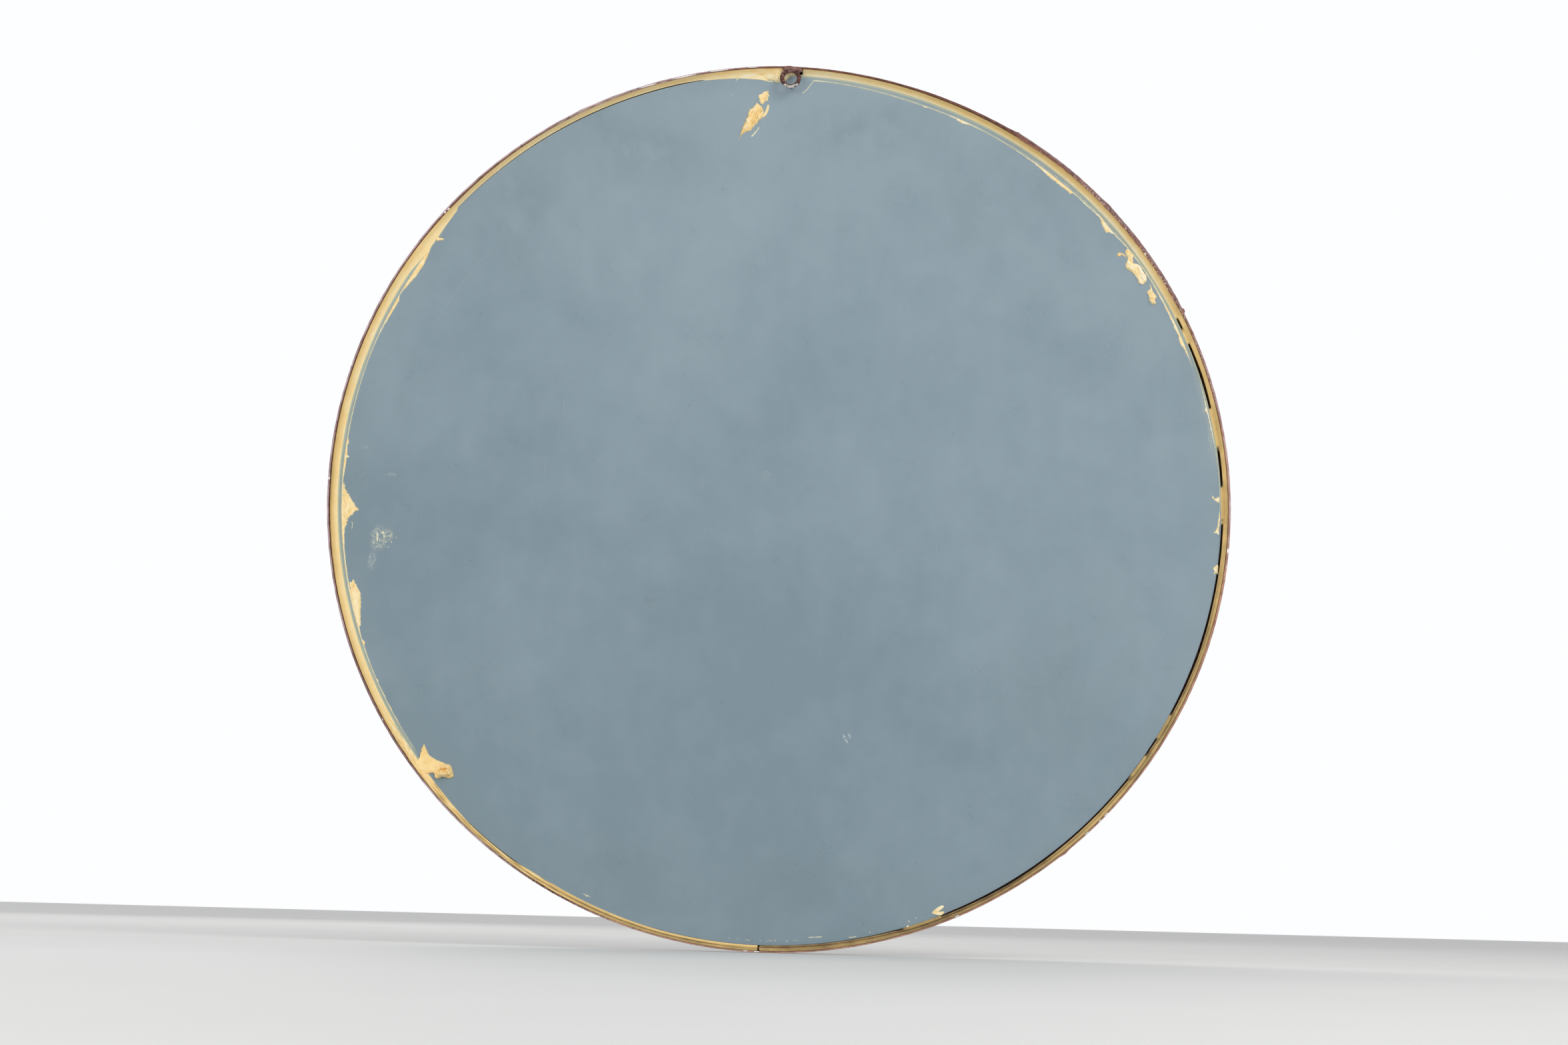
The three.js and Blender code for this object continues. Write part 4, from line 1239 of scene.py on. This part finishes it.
# Fine raised scratches and streaks: their width, then points along them.
STREAKS = [
    (0.5, [(12.4, 424.6), (15.2, 426.4), (18.0, 429.0), (20.2, 432.0), (22.2, 434.6), (24.6, 437.4)]),
    (0.4, [(-56.6, 435.0), (-52.6, 438.2), (-50.6, 441.6), (-51.4, 444.2)]),
    (0.5, [(77.5, -433.4), (82.5, -433.0), (85.0, -432.4)]),
    (0.45, [(39.5, -434.4), (46.0, -434.0), (52.5, -433.6)]),
    (0.35, [(-179.8, -398.6), (-172.8, -401.2)]),
    (0.9, [(-39.0, 379.6), (-36.8, 381.6), (-34.6, 384.4)]),
    (0.6, [(-36.4, 382.0), (-32.6, 386.6), (-31.4, 389.0)]),
    (0.7, [(-400.9, -47.0), (-400.4, -52.2), (-400.0, -57.0)]),
    (0.3, [(-425.4, -38.7), (-424.8, -42.7), (-425.4, -46.0)]),
]


def add_specks():
    """Small flecks and streaks, in one piece of many closed grains."""
    points, faces, films = [], [], []
    sides = 10
    ring = np.linspace(0, 2 * math.pi, sides, endpoint=False)
    grain_faces = []
    for low in (0, sides):
        for k in range(sides):
            beside = (k + 1) % sides
            grain_faces.append([low + k, low + beside, low + sides + beside, low + sides + k])
    grain_faces += [list(range(sides - 1, -1, -1)), list(range(2 * sides, 3 * sides))]

    def grain(u, v, half_u, half_v, height, turn=0.0, film=0.25):
        first = len(points)
        faces.extend([first + k for k in face] for face in grain_faces)
        films.extend([film] * 3 * sides)
        cells = np.stack([np.arange(sides), np.full(sides, round(u * 7 + v * 13))], -1)
        wobble = 1 + 0.25 * (2 * hashed(cells, 5) - 1)
        for level, spread in ((0.01, 1.0), (height * 0.7, 0.75), (height, 0.3)):
            a = half_u * spread * wobble * np.cos(ring)
            b = half_v * spread * wobble * np.sin(ring)
            gu = u + a * math.cos(turn) - b * math.sin(turn)
            gv = v + a * math.sin(turn) + b * math.cos(turn)
            points.extend(world(gu, gv, dish(PAINT_TOP_R, gu, gv) + level))

    for u, v, size in SPECKS:
        grain(u, v, size, size * 0.8, 0.35 * size)
    for k in range(16):
        chance = hashed(np.array([[k, 1], [k, 2], [k, 3]]), 77)
        u, v = polar(438.2 + 1.2 * chance[1], -86.0 - 9.0 * chance[0])
        grain(u, v, 0.35 + 0.4 * chance[2], 0.3, 0.15)
    for width, path in STREAKS:
        for start, end in itertools.pairwise(np.array(path)):
            side = end - start
            turn = math.atan2(side[1], side[0])
            grain(*(start + end) / 2, np.linalg.norm(side) * 0.6, width, 0.08, turn, 0.95)
    add_piece("specks", np.array(points), faces, SEALANT, (), {"tone": 0.94, "thin": films})


# ---- what seats the glass on the lip
BED_BACK_R = (440.0, 435.0)  # radii of the bed's two corners under the glass


def add_front_bed():
    """Sealant between the lip and the glass, squeezed out a little at the lip's edge."""
    angles = np.linspace(0, 360, 720, endpoint=False)
    spots = np.stack(polar(1.0, angles), -1)
    squeeze = 0.5 + 0.5 * fractal(spots * 24, 301, 4)
    t = np.linspace(0, 1, 9)[None, :]
    lip_back = LIP - HOOP_DEPTH + 0.05
    inner = LIP_INNER_R - 0.1 - 0.9 * np.clip(squeeze, 0, 1.2)[:, None]
    glass_y = dish_at(FRONT_R, inner, angles[:, None]) - 0.05
    bulge = np.sin(t * math.pi) * 0.5
    r = inner + (LIP_INNER_R + 0.9 - inner) * t**1.4 - bulge * 0.3
    y = glass_y + (lip_back - 0.2 - glass_y) * t
    full = np.ones((len(angles), 1))
    under_glass = [dish_at(FRONT_R, radius * full, angles[:, None]) - 0.1 for radius in BED_BACK_R]
    r = np.concatenate([r, *(radius * full for radius in (BED_BACK_R[0], *BED_BACK_R))], 1)
    y = np.concatenate([y, lip_back * full, *under_glass], 1)
    values = {"tone": 0.5 + 0.15 * np.repeat(squeeze, r.shape[1]), "thin": 0}
    faces = grid_faces(*r.shape, close_rows=True)
    add_piece("front_bed", swept(angles, r, y), faces, SEALANT, ["front_glazing_bed"], values)


def add_setting_block(name, node, angle):
    """A rounded rubber block between the glass's edge and the hoop."""
    low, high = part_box(node)
    half_arc = 1.55  # degrees
    angles = np.linspace(angle - half_arc, angle + half_arc, 24)
    edge = GLASS_R + GLASS_U * math.cos(math.radians(angle)) + 0.4
    wall = HOOP_R - HOOP_WALL - 0.4
    section = rounded_loop(
        [
            (edge, high.y / MM, 0.5),
            (wall, high.y / MM, 0.5),
            (wall, low.y / MM, 0.5),
            (edge, low.y / MM, 0.5),
        ],
        spacing=1.0,
    )
    radii, depths = repeated(section, len(angles))
    faces = grid_faces(*radii.shape, close_rows=False)
    add_piece(name, swept(angles, radii, depths), faces, RUBBER, [node])


# ---- stage, lights and camera
CENTRE = Vector((0, 0, CENTRE_V * MM))
CAMERA_TILT = math.radians(-11.11)  # below the back's own normal, because the mirror leans
CAMERA_DISTANCE = 2.1683
CAMERA_AIM = (0.00239, -0.01371)
CAMERA_ROLL = math.radians(1.516)
FLOOR_HALF = 25.0
WORLD_STRENGTH = 0.73
SKY_GREYS = [(0.0, 0.72), (0.25, 0.9), (0.6, 0.82), (1.0, 0.95)]  # by height, from the horizon up
BRIGHT_WAY = Vector((0.45, -0.72, 0.53))  # a soft bright area high in front, for the mirror to reflect


def add_floor():
    mesh = bpy.data.meshes.new("floor")
    signs = [(-1, -1), (1, -1), (1, 1), (-1, 1)]
    corners = [(x * FLOOR_HALF, y * FLOOR_HALF, CAD_BOX[0].z) for x, y in signs]
    mesh.from_pydata(corners, [], [[0, 1, 2, 3]])
    s = Shading("pale_floor", Specular_IOR_Level=0.2)
    cloud = s.noise(1.6, 3)
    s.feed("Base Color", s.ramp(cloud, [(0.3, (0.7, 0.7, 0.69)), (0.7, (0.74, 0.74, 0.73))]))
    s.feed("Roughness", s.scaled(cloud, 0.2, 0.5))
    mesh.materials.append(s.material)
    floor = bpy.data.objects.new("floor", mesh)
    bpy.context.scene.collection.objects.link(floor)


def add_world():
    """A white studio: plain white to the camera, and softly shaded for light and reflections."""
    made = bpy.data.worlds.new("studio")
    bpy.context.scene.world = made
    made.use_nodes = True
    made.node_tree.nodes.clear()
    n = Nodes(made.node_tree)
    direction = n.node("ShaderNodeTexCoord").outputs["Generated"]
    height = n.node("ShaderNodeSeparateXYZ", {"Vector": direction}).outputs["Z"]
    shades = n.ramp(height, [(place, (0.985 * grey, 0.995 * grey, grey)) for place, grey in SKY_GREYS])
    towards = n.vector("DOT_PRODUCT", direction, BRIGHT_WAY.normalized())["Value"]
    strength = n.between(towards, 0.9, 0.97, WORLD_STRENGTH, 2.2 * WORLD_STRENGTH)
    lit = n.node("ShaderNodeBackground", {"Color": shades, "Strength": strength}).outputs[0]
    seen = n.node("ShaderNodeBackground", {"Color": (0.985, 0.99, 1.0, 1)}).outputs[0]
    camera_ray = n.node("ShaderNodeLightPath").outputs["Is Camera Ray"]
    choice = n.node("ShaderNodeMixShader", {0: camera_ray, 1: lit, 2: seen}).outputs[0]
    n.node("ShaderNodeOutputWorld", {"Surface": choice})


def add_light(name, place, size, watts, colour, spread=180):
    """A soft lamp aimed at the hoop's centre; spread is the width of its beam in degrees."""
    data = bpy.data.lights.new(name, "AREA")
    data.shape = "RECTANGLE"
    data.size, data.size_y = size
    data.energy = watts
    data.spread = math.radians(spread)
    data.color = colour
    lamp = bpy.data.objects.new(name, data)
    lamp.location = place
    lamp.rotation_euler = (CENTRE - Vector(place)).to_track_quat("-Z", "Y").to_euler()
    lamp.visible_camera = False
    lamp.visible_glossy = False
    bpy.context.scene.collection.objects.link(lamp)


def add_camera():
    """A camera behind the mirror, turned so that the outline falls where it does in the photo."""
    away = Vector((0, math.cos(CAMERA_TILT), math.sin(CAMERA_TILT)))
    right = Vector((-1, 0, 0))
    up = right.cross(-away)
    forward = (-away + CAMERA_AIM[0] * right + CAMERA_AIM[1] * up).normalized()
    right = forward.cross(up).normalized()
    up = right.cross(forward)
    turned_right = right * math.cos(CAMERA_ROLL) + up * math.sin(CAMERA_ROLL)
    turned_up = up * math.cos(CAMERA_ROLL) - right * math.sin(CAMERA_ROLL)
    placed = Matrix((turned_right, turned_up, -forward)).transposed().to_4x4()
    placed.translation = CENTRE + away * CAMERA_DISTANCE
    data = bpy.data.cameras.new("camera")
    data.lens = 50
    data.sensor_width = 36
    data.clip_start = 0.01
    camera = bpy.data.objects.new("camera", data)
    camera.matrix_world = placed
    bpy.context.scene.collection.objects.link(camera)
    bpy.context.scene.camera = camera


# ---- build
bpy.context.scene.view_settings.view_transform = "Standard"
add_camera()
add_world()
add_floor()
add_light("key", (-1.5, 1.9, 0.9), (1.4, 1.4), 29.5, (1.0, 0.988, 0.968))
add_light("low_fill", (2.1, 3.4, 0.1), (1.6, 1.4), 9.0, (1.0, 0.99, 0.97), spread=100)
add_light("front_key", (1.2, -2.6, 1.4), (1.8, 1.8), 20, (1.0, 0.99, 0.97))

add_rim()
add_seam_weld()
add_ring()
add_deposit("ring_weld", "hanging_ring_weld", (0, 0.1, 445.4), (7.8, 3.2, 3.5), 41, 0.24)
add_deposit("ring_weld_right", "hanging_ring_weld_right", (9.0, -0.5, 445.2), (2.6, 2.2, 2.3), 51, 0.25)
add_glass()
add_silver()
add_paint()
add_bead("bead_left", "sealant_bead_left", LEFT_BEAD, LEFT_TOE, LEFT_TONES, np.zeros_like, 71)
add_bead("bead_right", "sealant_bead_right", RIGHT_BEAD, RIGHT_TOE, RIGHT_TONES, right_let_go, 81)
add_smears()
add_specks()
add_front_bed()
add_setting_block("block_left", "setting_block_left", 240)
add_setting_block("block_right", "setting_block_right", 300)
